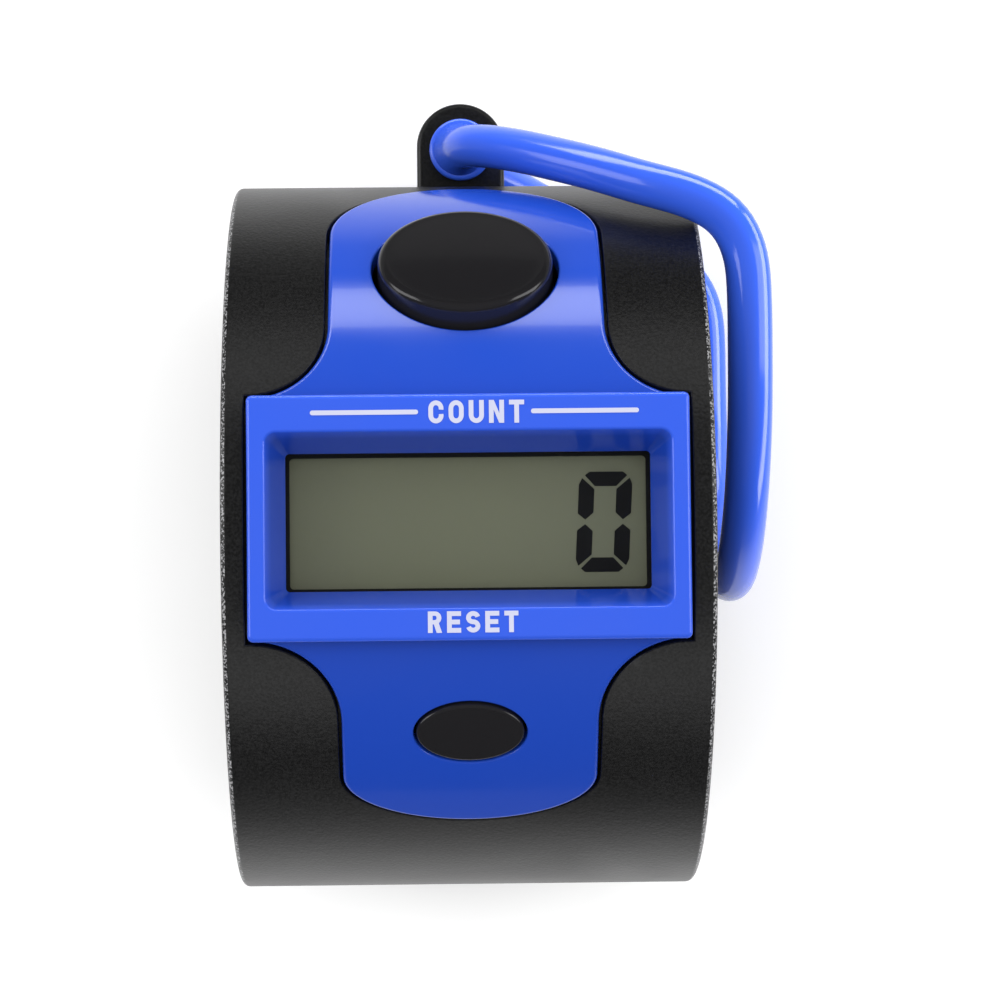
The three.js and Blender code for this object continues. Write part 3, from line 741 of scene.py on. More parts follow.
for name, box in lights.items():
    lamp = bpy.data.lights.new(name, "AREA")
    lamp.shape = "RECTANGLE"
    lamp.size, lamp.size_y = box["size"]
    lamp.energy = box["power"]
    holder = bpy.data.objects.new(name, lamp)
    scene.collection.objects.link(holder)
    holder.location = box["place"]
    holder.rotation_euler = (aim - holder.location).to_track_quat("-Z", "Y").to_euler()
    if "onto" in box:
        lampsOnto[name] = holder
scene.view_settings.view_transform = "Standard"

world = bpy.data.worlds.new("studio")
scene.world = world
world.use_nodes = True
sky = world.node_tree
background = sky.nodes["Background"]
background.inputs["Color"].default_value = (1.0, 1.0, 1.0, 1.0)
# brightness by height: one range for plain light, a darker one for what the glossy pieces reflect
skyLook = {"low": 0.25, "high": 1.8, "rise": (0.35, 1.0), "horizon": 0.015, "overhead": 0.09,
           "mirroredRise": (0.5, 0.9), "seen": 1.0}
place = sky.nodes.new("ShaderNodeTexCoord")
split = sky.nodes.new("ShaderNodeSeparateXYZ")
sky.links.new(place.outputs["Generated"], split.inputs["Vector"])
mirrored = mapRange(sky, split.outputs["Z"], *skyLook["mirroredRise"], skyLook["horizon"], skyLook["overhead"])
path = sky.nodes.new("ShaderNodeLightPath")
level = mapRange(sky, split.outputs["Z"], *skyLook["rise"], skyLook["low"], skyLook["high"])
for ray, value in (("Is Glossy Ray", mirrored), ("Is Camera Ray", skyLook["seen"])):
    pick = sky.nodes.new("ShaderNodeMix")
    sky.links.new(path.outputs[ray], pick.inputs["Factor"])
    feed(sky, pick.inputs["A"], level)
    feed(sky, pick.inputs["B"], value)
    level = pick.outputs["Result"]
sky.links.new(level, background.inputs["Strength"])

# a pale floor with a faint glow; its reflection darkens from near to far
floorLook = {"half": 3.0, "drop": 0.0002, "colour": (1.0, 1.0, 1.0), "second": (0.98, 0.98, 0.98), "ior": 1.05,
             "glow": 0.12, "mirrored": 0.8, "mirroredFar": 0.06, "near": 0.07, "far": 0.2,
             "roughness": (0.7, 0.8), "bump": 0.0, "rub": 0.0}
floorMesh = bpy.data.meshes.new("floor")
reach = floorLook["half"]
floorMesh.from_pydata([(-reach, -reach, 0), (reach, -reach, 0), (reach, reach, 0), (-reach, reach, 0)],
                      [], [(0, 1, 2, 3)])
floor = bpy.data.objects.new("floor", floorMesh)
floor.location.z = -floorLook["drop"]
scene.collection.objects.link(floor)
floorPale = makeFinish("floorPale", floorLook)
floorTree = floorPale.node_tree
floorShader = floorTree.nodes["Principled BSDF"]
floorShader.inputs["Emission Color"].default_value = (1.0, 1.0, 1.0, 1.0)
floorShader.inputs["Emission Strength"].default_value = floorLook["glow"]
dim = floorTree.nodes.new("ShaderNodeMix")
dim.data_type = "RGBA"
floorTree.links.new(floorTree.nodes.new("ShaderNodeLightPath").outputs["Is Glossy Ray"], dim.inputs["Factor"])
floorTree.links.new(floorShader.inputs["Base Color"].links[0].from_socket, dim.inputs["A"])
distance = floorTree.nodes.new("ShaderNodeVectorMath")
distance.operation = "LENGTH"
floorTree.links.new(floorTree.nodes.new("ShaderNodeTexCoord").outputs["Object"], distance.inputs[0])
shade = mapRange(floorTree, distance.outputs["Value"], floorLook["near"], floorLook["far"],
                 floorLook["mirrored"], floorLook["mirroredFar"])
floorTree.links.new(shade, dim.inputs["B"])
floorTree.links.new(dim.outputs["Result"], floorShader.inputs["Base Color"])
floorMesh.materials.append(floorPale)
print("camera, lights and floor set")

# face plate outline seen along Z, lengths in mm
plate = {
    "radius": 33.3,
    "innerRadius": 31.9,
    "upperHalf": 11.9,
    "upperShoulder": 26.0,
    "upperCrown": 5.5,
    "upperFillet": 16.9,
    "lowerHalf": 11.0,
    "lowerShoulder": -22.2,
    "lowerCrown": 3.9,
    "lowerFillet": -17.4,
    "edgeRound": 0.4,
    "gap": 0.3,
    "seatDepth": 1.4,
    "tipTrim": 97.0,
    "root": 1.5,
}
block = {
    "halfX": 18.7,
    "halfY": 10.4,
    "face": 33.6,
    "back": 27.9,
    "corner": 0.5,
    "edgeRound": 0.4,
    "mouthRound": 0.3,
    "recessX": 17.1,
    "recessY": 7.4,
    "recessCorner": 0.9,
    "windowX": 15.6,
    "windowY": 5.9,
    "windowShift": -0.2,
    "windowCorner": 0.35,
    "recessDepth": 4.0,
    "seatDepth": 4.3,
    "seatX": 17.2,
    "seatY": 7.5,
}


def unrolled(points, radius=plate["radius"]):
    # (x, y) on the plate's skin to (x, distance along the shell's arc)
    return [(x, drum["radius"] * math.asin(y / radius)) for x, y in points]


def tongueArcs(upper, start):
    # one end of the plate's outline, anticlockwise: fillet, rounded end, fillet;
    # each fillet starts at this angle, which can leave out its thin tip
    wing = block["halfX"]
    side = "upper" if upper else "lower"
    sign = 1 if upper else -1
    half, fillet = plate[side + "Half"], plate[side + "Fillet"]
    rise = abs(fillet) - block["halfY"]
    arcs = ellipsePoints(wing, fillet, wing - half, sign * rise, -start, -180, 18)
    arcs += ellipsePoints(0, plate[side + "Shoulder"], half, sign * plate[side + "Crown"], 0, 180, 60)
    arcs += ellipsePoints(-wing, fillet, wing - half, sign * rise, 0, start - 180, 18)
    return arcs if upper else arcs[::-1]


def tongueLoop(upper):
    # the same end closed off with a root that runs under the display frame
    arcs = tongueArcs(upper, plate["tipTrim"])
    baseY = (block["halfY"] - plate["root"]) * (1 if upper else -1)
    return arcs + [(arcs[-1][0], baseY), (arcs[0][0], baseY)]


def cleaned(points, least=0.05):
    out = []
    for point in points:
        if not out or math.dist(point, out[-1]) > least:
            out.append(point)
    if math.dist(out[0], out[-1]) <= least:
        out.pop()
    return out


keys = {
    "countTilt": 41.8,
    "countX": 7.95,
    "countY": 6.95,
    "resetTilt": -33.3,
    "resetX": 4.65,
    "resetY": 2.9,
    "gap": 0.25,
    "shellExtra": 0.2,
    "lip": 0.2,
    "steps": 72,
    "domeSteps": 9,
}


def ovalHole(key, grow, radius):
    # a key's oval passage, unrolled on the shell's arc, with its full clearance at the given radius
    halfX, halfY, tilt = keys[key + "X"] + grow, keys[key + "Y"] + grow, math.radians(keys[key + "Tilt"])
    loop = []
    for k in range(keys["steps"]):
        turn = 2 * math.pi * k / keys["steps"]
        reach = math.asin(halfY * math.sin(turn) / radius)
        loop.append((halfX * math.cos(turn), drum["radius"] * (tilt + reach)))
    return loop


# the shell's passages are wider than the plate's, which hides their edge
countHole, resetHole = [ovalHole(key, keys["gap"] + keys["shellExtra"], drum["innerRadius"])
                        for key in ("count", "reset")]

wholeOutline = tongueArcs(True, 90) + tongueArcs(False, 90)
outlineLoop = offsetLoop(resample(cleaned(unrolled(wholeOutline)), 0.8, closed=True), plate["gap"])
# the opening under the display frame, with a ledge that the frame rests on
ledge = 0.6
spanX, spanY = block["halfX"] - ledge, block["halfY"] - ledge
corners = [(-spanX, -spanY), (spanX, -spanY), (spanX, spanY), (-spanX, spanY)]
pitWindow = unrolled(resample(corners, 1.2, closed=True))

frontMaker = MeshMaker()
frontZ = drum["partingHeight"] + drum["partingGap"] / 2
shellMesh(frontMaker, frontProfile(drum["radius"], frontZ), frontProfile(drum["innerRadius"], frontZ),
          drum["halfWidth"], drum["innerHalfWidth"], drum["edgeRound"],
          [{"loop": outlineLoop, "lip": 0.15, "depth": plate["seatDepth"],
            "holes": [pitWindow, countHole, resetHole]}])

# the lug that the ring swings on, its root sunk in the shell's wall
lug = {"half": 4.15, "rootY": 31.2, "roundY": 37.0, "halfThick": 2.0, "edgeRound": 0.5, "pivotY": 36.5,
       "hole": 1.7, "lip": 0.15}
lugLoop = [(-lug["half"], lug["rootY"]), (lug["half"], lug["rootY"])]
lugLoop += ellipsePoints(0, lug["roundY"], lug["half"], lug["half"], 0, 180, 40)
lugLoop = resample(lugLoop, 0.6, closed=True)
lugHole = {"loop": circlePoints(0, lug["pivotY"], lug["hole"], 40), "lip": lug["lip"]}


def flatLift(height, up):
    # places flat points at a height, on a face that looks up (1) or down (-1)
    def lift(u, v, depth=0.0):
        return (u, v, height - up * depth), (0, 0, up)
    return lift


slab(frontMaker, lugLoop, [lugHole], flatLift(axisHeight + lug["halfThick"], 1),
     flatLift(axisHeight - lug["halfThick"], -1), lug["edgeRound"], lug["edgeRound"], lug["lip"])

# tubes that take the case screws, split at the parting line
posts = {"x": 16.0, "y": 20.2, "outer": 2.6, "bore": 0.9, "top": 42.5, "headRadius": 2.3, "headDepth": 12.0,
         "shank": 1.2, "wellExtra": 0.5, "wellSunk": 0.5}
postSpots = [(x * posts["x"], y * posts["y"]) for y in (-1, 1) for x in (-1, 1)]
for x, y in postSpots:
    tube(frontMaker, x, y, [(posts["bore"], frontZ), (posts["outer"], frontZ), (posts["outer"], posts["top"]),
                            (posts["bore"], posts["top"])])
frontShell = frontMaker.build("frontShell", finish["shellBlack"], "case")
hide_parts("front_shell")
print("front shell:", len(frontShell.data.polygons), "faces")

# rear shell: flat back with a battery door recess and deep screw wells
rear = {"wall": 2.0, "corner": 1.2, "innerCorner": 0.8, "doorX": 11.0, "doorTop": 9.5, "doorBottom": -14.5,
        "doorCorner": 2.0, "doorDepth": 1.8, "doorScrewY": -11.8, "lip": 0.25, "screwBore": 1.1}
rearMaker = MeshMaker()
rearZ = drum["partingHeight"] - drum["partingGap"] / 2
doorMiddle = (rear["doorTop"] + rear["doorBottom"]) / 2
doorHalf = (rear["doorTop"] - rear["doorBottom"]) / 2
recessLoop = roundedBox(rear["doorX"], doorHalf, rear["doorCorner"], doorMiddle)
recess = {"loop": resample(recessLoop, 1.0, closed=True), "lip": rear["lip"], "depth": rear["doorDepth"],
          "holes": [circlePoints(0, rear["doorScrewY"], rear["screwBore"], 24)]}
wells = [{"loop": circlePoints(x, y, posts["headRadius"], 36), "lip": rear["lip"]} for x, y in postSpots]
shellMesh(rearMaker, rearProfile(drum["radius"], rearZ, 0.0, rear["corner"]),
          rearProfile(drum["innerRadius"], rearZ, rear["wall"], rear["innerCorner"]),
          drum["halfWidth"], drum["innerHalfWidth"], drum["edgeRound"], [recess] + wells)
wellOuter = posts["outer"] + posts["wellExtra"]
wellRoot = rear["wall"] - posts["wellSunk"]
for x, y in postSpots:
    tube(rearMaker, x, y, [(posts["headRadius"], wellRoot), (wellOuter, wellRoot), (wellOuter, rearZ),
                           (posts["shank"], rearZ), (posts["shank"], posts["headDepth"]),
                           (posts["headRadius"], posts["headDepth"])])
rearShell = rearMaker.build("rearShell", finish["shellBlack"], "case")
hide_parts("rear_shell")

door = {"gap": 0.3, "thick": 1.5, "edgeRound": 0.3, "gripY": (7.4, 5.6, 3.8), "gripHalf": 4.2, "gripWide": 0.45,
        "gripRound": 0.98, "gripLip": 0.15, "gripDepth": 0.5, "headRadius": 1.8, "headLip": 0.1,
        "headDepth": 1.0, "bore": 1.0}
doorMaker = MeshMaker()
doorLoop = resample(roundedBox(rear["doorX"] - door["gap"], doorHalf - door["gap"],
                               rear["doorCorner"] - door["gap"], doorMiddle), 1.0, closed=True)
grips = []
for y in door["gripY"]:
    gripLoop = roundedBox(door["gripHalf"], door["gripWide"], door["gripWide"] * door["gripRound"], y)
    grips.append({"loop": resample(gripLoop, 0.8, closed=True), "lip": door["gripLip"],
                  "depth": door["gripDepth"]})
headPit = {"loop": circlePoints(0, rear["doorScrewY"], door["headRadius"], 36), "lip": door["headLip"],
           "depth": door["headDepth"], "holes": [circlePoints(0, rear["doorScrewY"], door["bore"], 36)]}
slab(doorMaker, doorLoop, grips + [headPit], flatLift(0.0, -1), flatLift(door["thick"], 1),
     door["edgeRound"], 0.0)
batteryDoor = doorMaker.build("batteryDoor", finish["shellBlack"], "case")
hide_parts("battery_door")
print("rear shell and battery door made")

# face plate: two curved tongues and the raised display frame between them
plateMaker = MeshMaker()
for upper, key in ((True, "count"), (False, "reset")):
    loop = resample(cleaned(unrolled(tongueLoop(upper))), 0.7, closed=True)
    hole = {"loop": ovalHole(key, keys["gap"], plate["radius"]), "lip": keys["lip"],
            "exit": ovalHole(key, keys["gap"], plate["innerRadius"])}
    slab(plateMaker, loop, [hole], drumLift(plate["radius"]), drumLift(plate["innerRadius"]),
         plate["edgeRound"], 0.0)


cornerSteps = 8  # in each corner of the frame's rings


def blockRing(halfX, halfY, corner, height, shiftY, outward=None):
    # a rounded rectangle in the frame; outward = (sideways, up) parts of its normals
    loop = roundedBox(halfX, halfY, corner, shiftY, perCorner=cornerSteps)
    ring = []
    for i, (x, y) in enumerate(loop):
        normal = None
        if outward:
            quarter, step = divmod(i, cornerSteps + 1)
            turn = math.radians(quarter * 90 + step * 90 / cornerSteps)
            normal = (outward[0] * math.cos(turn), outward[0] * math.sin(turn), outward[1])
        ring.append(plateMaker.add((x, y, axisHeight + height), normal))
    return ring


walls = [blockRing(block["halfX"], block["halfY"], block["corner"], block["back"], 0.0, (1, 0))]
for k in range(6):
    turn = math.pi / 2 * k / 5
    inset = block["edgeRound"] * (1 - math.cos(turn))
    walls.append(blockRing(block["halfX"] - inset, block["halfY"] - inset, max(0.05, block["corner"] - inset),
                           block["face"] - block["edgeRound"] * (1 - math.sin(turn)), 0.0,
                           (math.cos(turn), math.sin(turn))))
# the recess leans in from a rounded mouth to the window's edge
lean = math.atan2(block["recessDepth"], block["recessX"] - block["windowX"])
mouth = block["mouthRound"]
shift = block["windowShift"]
for k in range(6):
    turn = lean * k / 5
    grow = mouth * (1 - math.sin(turn))
    walls.append(blockRing(block["recessX"] + grow, block["recessY"] + grow, block["recessCorner"] + grow,
                           block["face"] - mouth * (1 - math.cos(turn)), shift,
                           (-math.sin(turn), math.cos(turn))))
window = (block["windowX"], block["windowY"], block["windowCorner"])
walls.append(blockRing(*window, block["face"] - block["recessDepth"], shift, (-math.sin(lean), math.cos(lean))))
for one, two in zip(walls, walls[1:]):
    plateMaker.strip(one, two, exact=True)
seatHeight = block["face"] - block["seatDepth"]
lip = blockRing(*window, seatHeight, shift)
seat = blockRing(block["seatX"], block["seatY"], block["windowCorner"], seatHeight, shift)
pocket = blockRing(block["seatX"], block["seatY"], block["windowCorner"], block["back"], shift)
for one, two in ((walls[-1], lip), (lip, seat), (seat, pocket), (pocket, walls[0])):
    plateMaker.strip(one, two)
facePlate = plateMaker.build("facePlate", finish["plateBlue"], "case")
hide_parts("face_plate")
print("face plate:", len(facePlate.data.polygons), "faces")


def keyCap(name, tilt, rings, crown, body, node):
    # an oval key across a radial axis: rings of (half width, half height, radius, sideways, up),
    # then a domed top
    maker = MeshMaker()
    turn = math.radians(tilt)
    outward = Vector((0, math.sin(turn), math.cos(turn)))
    across = Vector((0, math.cos(turn), -math.sin(turn)))
    centre = Vector((0, 0, axisHeight))

    def oval(halfX, halfY, radius, sideways, up):
        ring = []
        for k in range(keys["steps"]):
            cosine = math.cos(2 * math.pi * k / keys["steps"])
            sine = math.sin(2 * math.pi * k / keys["steps"])
            beside = Vector((cosine / halfX, 0, 0)) + across * (sine / halfY)
            place = centre + outward * radius + Vector((halfX * cosine, 0, 0)) + across * (halfY * sine)
            normal = beside.normalized() * sideways + outward * up if sideways is not None else None
            ring.append(maker.add(place, normal))
        return ring

    made = [oval(*ring) for ring in rings]
    for i, (one, two) in enumerate(zip(made, made[1:])):
        maker.strip(one, two, exact=rings[i][3] is not None and rings[i + 1][3] is not None)
    halfX, halfY, radius = rings[-1][:3]
    last = made[-1]
    for k in range(1, keys["domeSteps"]):
        share = 1 - k / keys["domeSteps"]
        slope = 2 * crown * share / halfX
        ring = oval(halfX * share, halfY * share, radius + crown * (1 - share * share), slope, 1)
        maker.strip(last, ring, exact=True)
        last = ring
    maker.fan(last, maker.add(centre + outward * (radius + crown), outward), exact=True)
    maker.face(made[0])
    piece = maker.build(name, finish["buttonBlack"], body)
    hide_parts(node)
    return piece


def footRings(look, halfX, halfY, flare):
    # a key's flange inside the shell and the foot of its wall
    flange = (look["flangeX"], look["flangeY"])
    return [(*flange, look["flangeFrom"], None, None), (*flange, look["flangeTo"], None, None),
            (halfX, halfY, look["flangeTo"], 1, flare)]


def edgeRings(halfX, halfY, top, edge, steps=7):
    # the rounded edge of a key's top, from its wall round to its face
    out = []
    for k in range(steps + 1):
        turn = math.pi / 2 * k / steps
        inset = edge * (1 - math.cos(turn))
        out.append((halfX - inset, halfY - inset, top - edge * (1 - math.sin(turn)),
                    math.cos(turn), math.sin(turn)))
    return out


countLook = {"topX": 7.65, "topY": 6.65, "top": 34.62, "edge": 0.75, "crown": 0.3, "flangeX": 9.3, "flangeY": 8.2,
             "flangeFrom": 27.6, "flangeTo": 28.4, "flare": 0.09}
rings = footRings(countLook, keys["countX"], keys["countY"], countLook["flare"])
rings += edgeRings(countLook["topX"], countLook["topY"], countLook["top"], countLook["edge"])
keyCap("countButton", keys["countTilt"], rings, countLook["crown"], "count_key", "count_button")

resetLook = {"top": 33.36, "edge": 0.3, "crown": 0.14, "flangeX": 5.6, "flangeY": 3.8, "flangeFrom": 27.6,
             "flangeTo": 28.4}
rings = footRings(resetLook, keys["resetX"], keys["resetY"], 0)
rings += edgeRings(keys["resetX"], keys["resetY"], resetLook["top"], resetLook["edge"])
keyCap("resetButton", keys["resetTilt"], rings, resetLook["crown"], "reset_key", "reset_button")
print("keys made")

# finger ring: a bent round rod, flared into a collar and a pin at each end
ringLook = {
    "rod": 2.0,
    "flare": 0.7,
    "flareLength": 2.2,
    "collar": 2.95,
    "collarFrom": 2.3,
    "collarTo": 3.35,
    "collarRound": 0.35,
    "pin": 1.6,
    "pinFrom": 0.2,
    "step": 0.7,
    "sides": 36,
    "legX": 25.3,
    "bendY": 16.0,
    "spread": 20.6,
    "leg": [(0, 36.5, 3.1), (0.3, 36.45, 5.2), (2.2, 36.0, 7.6), (5.2, 35.0, 10.6), (8.45, 33.7, 13.6),
            (11.9, 32.3, 16.4), (16.2, 30.5, 19.0), (20.2, 29.1, 20.3), (23.4, 27.2, 20.6), (25.0, 24.0, 20.6),
            (25.3, 20.0, 20.6)],
}


def smoothPath(points, step):
    # centripetal spline through the points, with evenly spaced samples
    vectors = [Vector(p) for p in points]
    vectors = [2 * vectors[0] - vectors[1]] + vectors + [2 * vectors[-1] - vectors[-2]]
    fine = []
    for i in range(1, len(vectors) - 2):
        p = vectors[i - 1:i + 3]
        t = [0.0]
        for one, two in zip(p, p[1:]):
            t.append(t[-1] + max(1e-6, (two - one).length) ** 0.5)
        for k in range(24):
            at = t[1] + (t[2] - t[1]) * k / 24
            first = [p[j] * ((t[j + 1] - at) / (t[j + 1] - t[j])) + p[j + 1] * ((at - t[j]) / (t[j + 1] - t[j]))
                     for j in range(3)]
            second = [first[j] * ((t[j + 2] - at) / (t[j + 2] - t[j]))
                      + first[j + 1] * ((at - t[j]) / (t[j + 2] - t[j])) for j in range(2)]
            fine.append(second[0] * ((t[2] - at) / (t[2] - t[1])) + second[1] * ((at - t[1]) / (t[2] - t[1])))
    fine.append(vectors[-2])
    lengths = [0.0]
    for one, two in zip(fine, fine[1:]):
        lengths.append(lengths[-1] + (two - one).length)
    count = round(lengths[-1] / step)
    out, j = [], 0
    for k in range(count + 1):
        target = lengths[-1] * k / count
        while j < len(fine) - 2 and lengths[j + 1] < target:
            j += 1
        share = (target - lengths[j]) / (lengths[j + 1] - lengths[j])
        out.append(fine[j].lerp(fine[j + 1], share))
    return out


def evened(path, rounds):
    # relaxes small waves in the path, ends fixed
    for _ in range(rounds):
        inner = [(before + 2 * here + after) / 4 for before, here, after in zip(path, path[1:], path[2:])]
        path = [path[0]] + inner + [path[-1]]
    return path


bail = [(ringLook["legX"], ringLook["bendY"] - ringLook["spread"] * math.sin(math.pi * i / 10),
         ringLook["spread"] * math.cos(math.pi * i / 10)) for i in range(11)]
controls = ringLook["leg"] + bail + [(x, y, -z) for x, y, z in ringLook["leg"][::-1]]
ringPath = [Vector((p.x, p.y, p.z + axisHeight)) for p in evened(smoothPath(controls, ringLook["step"]), 6)]
ringMaker = MeshMaker()
tangents = [(ringPath[min(i + 1, len(ringPath) - 1)] - ringPath[max(i - 1, 0)]).normalized()
            for i in range(len(ringPath))]
tangents[0], tangents[-1] = Vector((0, 0, 1)), Vector((0, 0, -1))
beside = Vector((1, 0, 0))
rodRings = []
travelled = 0.0
total = sum((after - before).length for before, after in zip(ringPath, ringPath[1:]))
for i, (place, along) in enumerate(zip(ringPath, tangents)):
    if i:
        travelled += (place - ringPath[i - 1]).length
    beside = (beside - along * beside.dot(along)).normalized()
    other = along.cross(beside)
    near = min(travelled, total - travelled)
    bulge = ringLook["flare"] * max(0.0, 1 - near / ringLook["flareLength"]) ** 2
    radius = ringLook["rod"] + bulge
    ring = []
    for k in range(ringLook["sides"]):
        a = 2 * math.pi * k / ringLook["sides"]
        outward = beside * math.cos(a) + other * math.sin(a)
        ring.append(ringMaker.add(place + outward * radius, outward))
    rodRings.append(ring)
for one, two in zip(rodRings, rodRings[1:]):
    ringMaker.strip(one, two, exact=True)
ringMaker.face(rodRings[0])
ringMaker.face(rodRings[-1])
for side in (-1, 1):
    edge = ringLook["collarRound"]
    flat = ringLook["collar"] - edge
    outline = [(ringLook["pin"], ringLook["pinFrom"]), (ringLook["pin"], ringLook["collarFrom"])]
    outline += [(flat + edge * math.sin(a), ringLook["collarFrom"] + edge - edge * math.cos(a))
                for a in [math.pi / 2 * k / 5 for k in range(6)]]
    outline += [(flat + edge * math.cos(a), ringLook["collarTo"] - edge + edge * math.sin(a))
                for a in [math.pi / 2 * k / 5 for k in range(6)]]
    rings = []
    for radius, height in outline:
        rings.append([ringMaker.add((radius * math.cos(a), lug["pivotY"] + radius * math.sin(a),
                                     axisHeight + side * height))
                      for a in [2 * math.pi * k / 40 for k in range(40)]])
    for one, two in zip(rings, rings[1:]):
        ringMaker.strip(one, two)
    ringMaker.face(rings[0])
    ringMaker.face(rings[-1])
fingerRing = ringMaker.build("fingerRing", finish["ringBlue"], "ring")
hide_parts("finger_ring")
print("finger ring:", len(fingerRing.data.polygons), "faces")


def printed(name, shapes, low, high, material):
    # thin raised shapes: each is an outline with holes, in the XY plane
    maker = MeshMaker()
    for loops in shapes:
        tops = [[maker.add((x, y, high)) for x, y in loop] for loop in loops]
        bottoms = [[maker.add((x, y, low)) for x, y in loop] for loop in loops]
        for top, bottom in zip(tops, bottoms):
            maker.strip(top, bottom)
        maker.fill([list(zip(top, loop)) for top, loop in zip(tops, loops)], None)
        maker.fill([list(zip(bottom, loop)) for bottom, loop in zip(bottoms, loops)], None)
    return maker.build(name, material, "case")


def stroke(path, thick):
    # an open line given width, with square ends
    left, right = [], []
    for i, here in enumerate(path):
        before, after = path[max(i - 1, 0)], path[min(i + 1, len(path) - 1)]
        along = Vector((after[0] - before[0], after[1] - before[1])).normalized()
        left.append((here[0] - along.y * thick / 2, here[1] + along.x * thick / 2))
        right.append((here[0] + along.y * thick / 2, here[1] - along.x * thick / 2))
    return right + left[::-1]


def letter(sign, w, h, t):
    # bold narrow capitals; w and h are the cell's width and height, t the stroke's thickness
    tall = 1.1  # a round letter's bends are this much higher than they are wide
    if sign == "T":
        left, right = (w - t) / 2, (w + t) / 2
        return [[(0, h - t), (left, h - t), (left, 0), (right, 0), (right, h - t), (w, h - t), (w, h), (0, h)]]
    if sign == "E":
        low, top = (h - t) / 2, (h + t) / 2
        return [[(0, 0), (w, 0), (w, t), (t, t), (t, low), (w * 0.92, low), (w * 0.92, top), (t, top),
                 (t, h - t), (w, h - t), (w, h), (0, h)]]
    if sign == "N":
        return [[(0, 0), (t, 0), (t, h * 0.58), (w - t * 1.05, 0), (w, 0), (w, h), (w - t, h),
                 (w - t, h * 0.42), (t * 1.05, h), (0, h)]]
    if sign == "U":
        r = (w - t) / 2
        arc = ellipsePoints(w / 2, r * tall + t / 2, r, r * tall, 180, 360, 14)
        return [stroke([(t / 2, h)] + arc + [(w - t / 2, h)], t)]
    if sign == "O":
        r = w / 2
        loops = []
        for across, along in ((r, r * tall), (r - t, r * tall - t)):
            loops.append(ellipsePoints(r, h - r * tall, across, along, 0, 180, 16)
                         + ellipsePoints(r, r * tall, across, along, 180, 360, 16))
        return loops
    if sign == "C":
        r = (w - t) / 2
        return [stroke(ellipsePoints(w / 2, h - t / 2 - r * tall, r, r * tall, -12, 180, 16)
                       + ellipsePoints(w / 2, t / 2 + r * tall, r, r * tall, 180, 372, 16), t)]
    if sign == "S":
        r, q = (w - t) / 2, (h - t) / 4
        return [stroke(ellipsePoints(w / 2, h - t / 2 - q, r, q, 12, 262, 20)
                       + ellipsePoints(w / 2, t / 2 + q, r, q, 82, -168, 20), t)]
    # R: a stem, a bowl round (cx, cy) and a leg that leaves it below the waist
    cx, cy, rx, ry, waist = w * 0.5, h * 0.7, w * 0.46, h * 0.3, h * 0.4
    outer = [(0, 0), (t, 0), (t, waist), (w * 0.42, waist), (w - t * 1.12, 0), (w, 0), (w * 0.78, h * 0.44)]
    outer += ellipsePoints(cx, cy, rx, ry, -52, 90, 14) + [(0, h)]
    bowl = ellipsePoints(cx, cy, rx - t, ry - t * 0.9, -90, 90, 14)
    return [outer, [(t, waist + t * 0.85)] + bowl + [(t, h - t * 0.92)]]


def word(text, centreX, centreY, width, height, thick, gap):
    cell = (width - gap * (len(text) - 1)) / len(text)
    shapes = []
    for i, sign in enumerate(text):
        startX = centreX - width / 2 + i * (cell + gap)
        shapes.append([[(startX + x, centreY - height / 2 + y) for x, y in loop]
                       for loop in letter(sign, cell, height, thick)])
    return shapes


labels = {
    "count": {"centre": (0.7, 8.84), "width": 8.07, "height": 1.94},
    "reset": {"centre": (0.25, -8.84), "width": 7.6, "height": 1.8},
    "thick": 0.4,
    "gap": 0.42,
    "raise": 0.03,
    "rules": ((-13.3, -4.2), (5.3, 14.4)),
    "ruleY": 8.85,
    "ruleHalf": 0.2,
    "ruleRound": 0.98,
    "sunk": 0.02,
}
face = axisHeight + block["face"]
shapes = []
for text in ("count", "reset"):
    look = labels[text]
    shapes += word(text.upper(), *look["centre"], look["width"], look["height"], labels["thick"],
                   labels["gap"])
for start, end in labels["rules"]:
    half = labels["ruleHalf"]
    rule = roundedBox((end - start) / 2, half, half * labels["ruleRound"], labels["ruleY"])
    shapes.append([[(x + (start + end) / 2, y) for x, y in rule]])
printed("printedLabels", shapes, face - labels["sunk"], face + labels["raise"], finish["printWhite"])

digit = {"left": 9.42, "right": 14.02, "bottom": -4.55, "top": 4.1, "thick": 1.35, "gap": 0.22, "lean": 0.055,
         "corner": 0.7, "chamfer": 0.45, "trim": 0.1, "raise": 0.04}


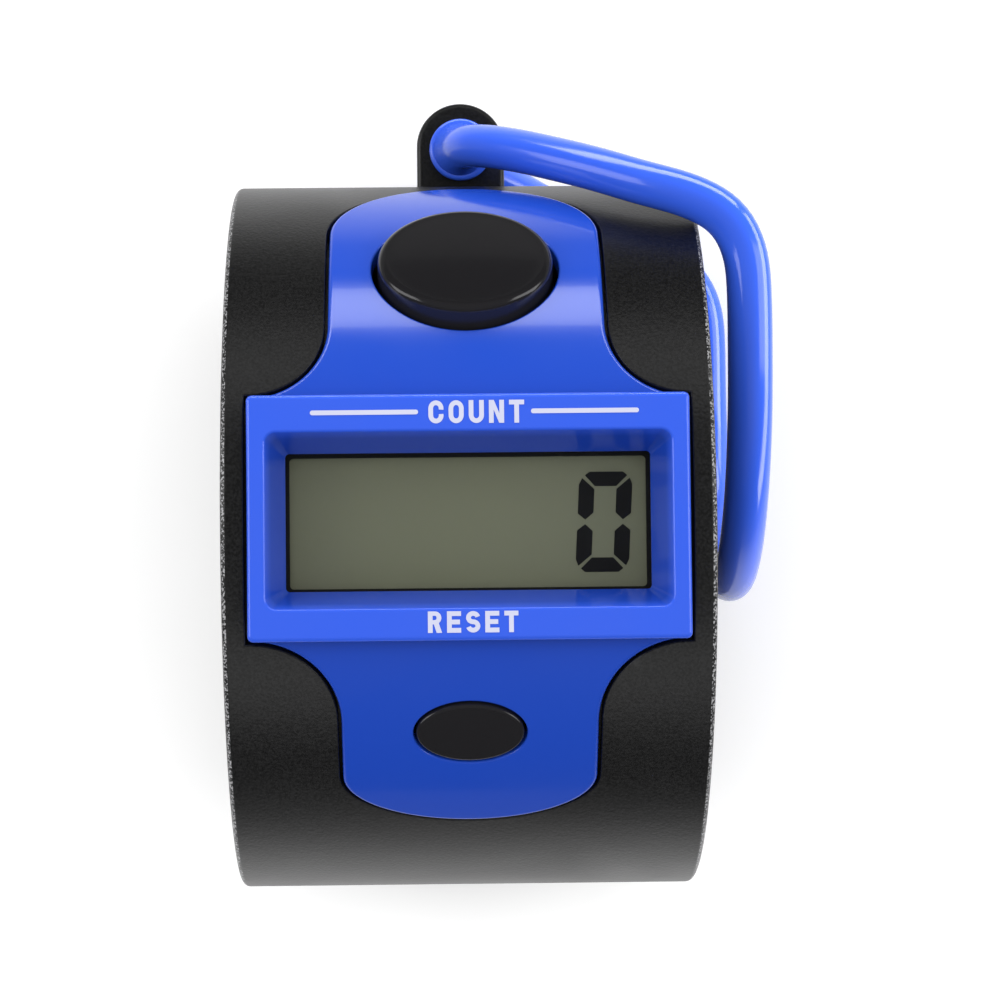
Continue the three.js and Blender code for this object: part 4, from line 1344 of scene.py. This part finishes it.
def digitSegments():
    # a seven-segment nought: two flat bars and four upright ones, leaning slightly
    l, r, b, t = (digit[key] for key in ("left", "right", "bottom", "top"))
    w, g, cut = digit["thick"], digit["gap"] / 2, digit["corner"]
    middle = (b + t) / 2
    spare = g * math.sqrt(2)
    chamfer = cut * digit["chamfer"]
    deep = w - digit["trim"]
    bars = []
    for top in (True, False):
        outer, sign = (t, -1) if top else (b, 1)
        bar = [(l + chamfer + spare, outer + sign * chamfer), (l + cut + spare, outer), (r - cut - spare, outer),
               (r - chamfer - spare, outer + sign * chamfer), (r - w - spare * 0.2, outer + sign * deep),
               (l + w + spare * 0.2, outer + sign * deep)]
        bars.append(bar if not top else bar[::-1])
    for left in (True, False):
        side, sign = (l, 1) if left else (r, -1)
        for top in (True, False):
            outer, turn = (t, -1) if top else (b, 1)
            near = middle - turn * g * 1.6
            bar = [(side, outer + turn * (cut + spare + 0.25)),
                   (side + sign * cut * 0.35, outer + turn * (cut * 0.55 + spare)),
                   (side + sign * w, outer + turn * (w + spare)),
                   (side + sign * w, near - turn * 0.62), (side + sign * w * 0.5, near - turn * 0.02),
                   (side, near - turn * 0.55)]
            bars.append(bar)
    out = []
    for bar in bars:
        area = sum(here[0] * after[1] - after[0] * here[1] for here, after in zip(bar, bar[1:] + bar[:1]))
        bar = bar if area > 0 else bar[::-1]
        out.append([[(x + (y - middle) * digit["lean"], y) for x, y in bar]])
    return out


# the printed surround of the display, just clear of the window's edge
mask = {"outerX": 16.9, "outerY": 7.2, "inset": 0.27, "corner": 0.35, "low": 27.5, "high": 27.8}
surround = [roundedBox(mask["outerX"], mask["outerY"], 0.3, block["windowShift"]),
            roundedBox(block["windowX"] - mask["inset"], block["windowY"] - mask["inset"], mask["corner"],
                       block["windowShift"])]
displayMask = printed("displayMask", [surround], axisHeight + mask["low"], axisHeight + mask["high"],
                      finish["maskBlack"])
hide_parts("display_mask")
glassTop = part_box("lcd_glass")[1].z / mm
printed("digitNought", digitSegments(), glassTop - labels["sunk"], glassTop + digit["raise"],
        finish["segmentDark"])
print("labels and digit made")

# the inside parts keep their CAD shape and get their finishes here
nodeFinish = {
    "window_lens": clearWindow,
    "lcd_glass": finish["displayOlive"],
    "connector_strip_upper": finish["stripRubber"],
    "connector_strip_lower": finish["stripRubber"],
    "lcd_holder": finish["holderWhite"],
    "main_board": finish["boardGreen"],
    "chip_blob": finish["chipResin"],
    "crystal": finish["nickel"],
    "capacitor": finish["plungerRed"],
    "count_switch_body": finish["buttonBlack"],
    "reset_switch_body": finish["buttonBlack"],
    "count_switch_plunger": finish["plungerRed"],
    "reset_switch_plunger": finish["plungerRed"],
    "count_switch_board": finish["boardGreen"],
    "reset_switch_board": finish["boardGreen"],
    "button_cell": finish["nickel"],
    "contact_positive": finish["nickel"],
    "contact_negative": finish["nickel"],
    "lead_positive": finish["leadRed"],
    "lead_negative": finish["leadBlack"],
}
replaced = {"front_shell", "rear_shell", "battery_door", "face_plate", "display_mask", "count_button",
            "reset_button", "finger_ring"}
for name, node in nodes.items():
    if name in replaced:
        continue
    node.data.materials.clear()
    node.data.materials.append(nodeFinish.get(name, finish["bareSteel"]))
print("CAD nodes finished")

for name, holder in lampsOnto.items():
    lit = bpy.data.collections.new(name + "Onto")
    for pieceName in lights[name]["onto"]:
        lit.objects.link(bpy.data.objects[pieceName])
    holder.light_linking.receiver_collection = lit
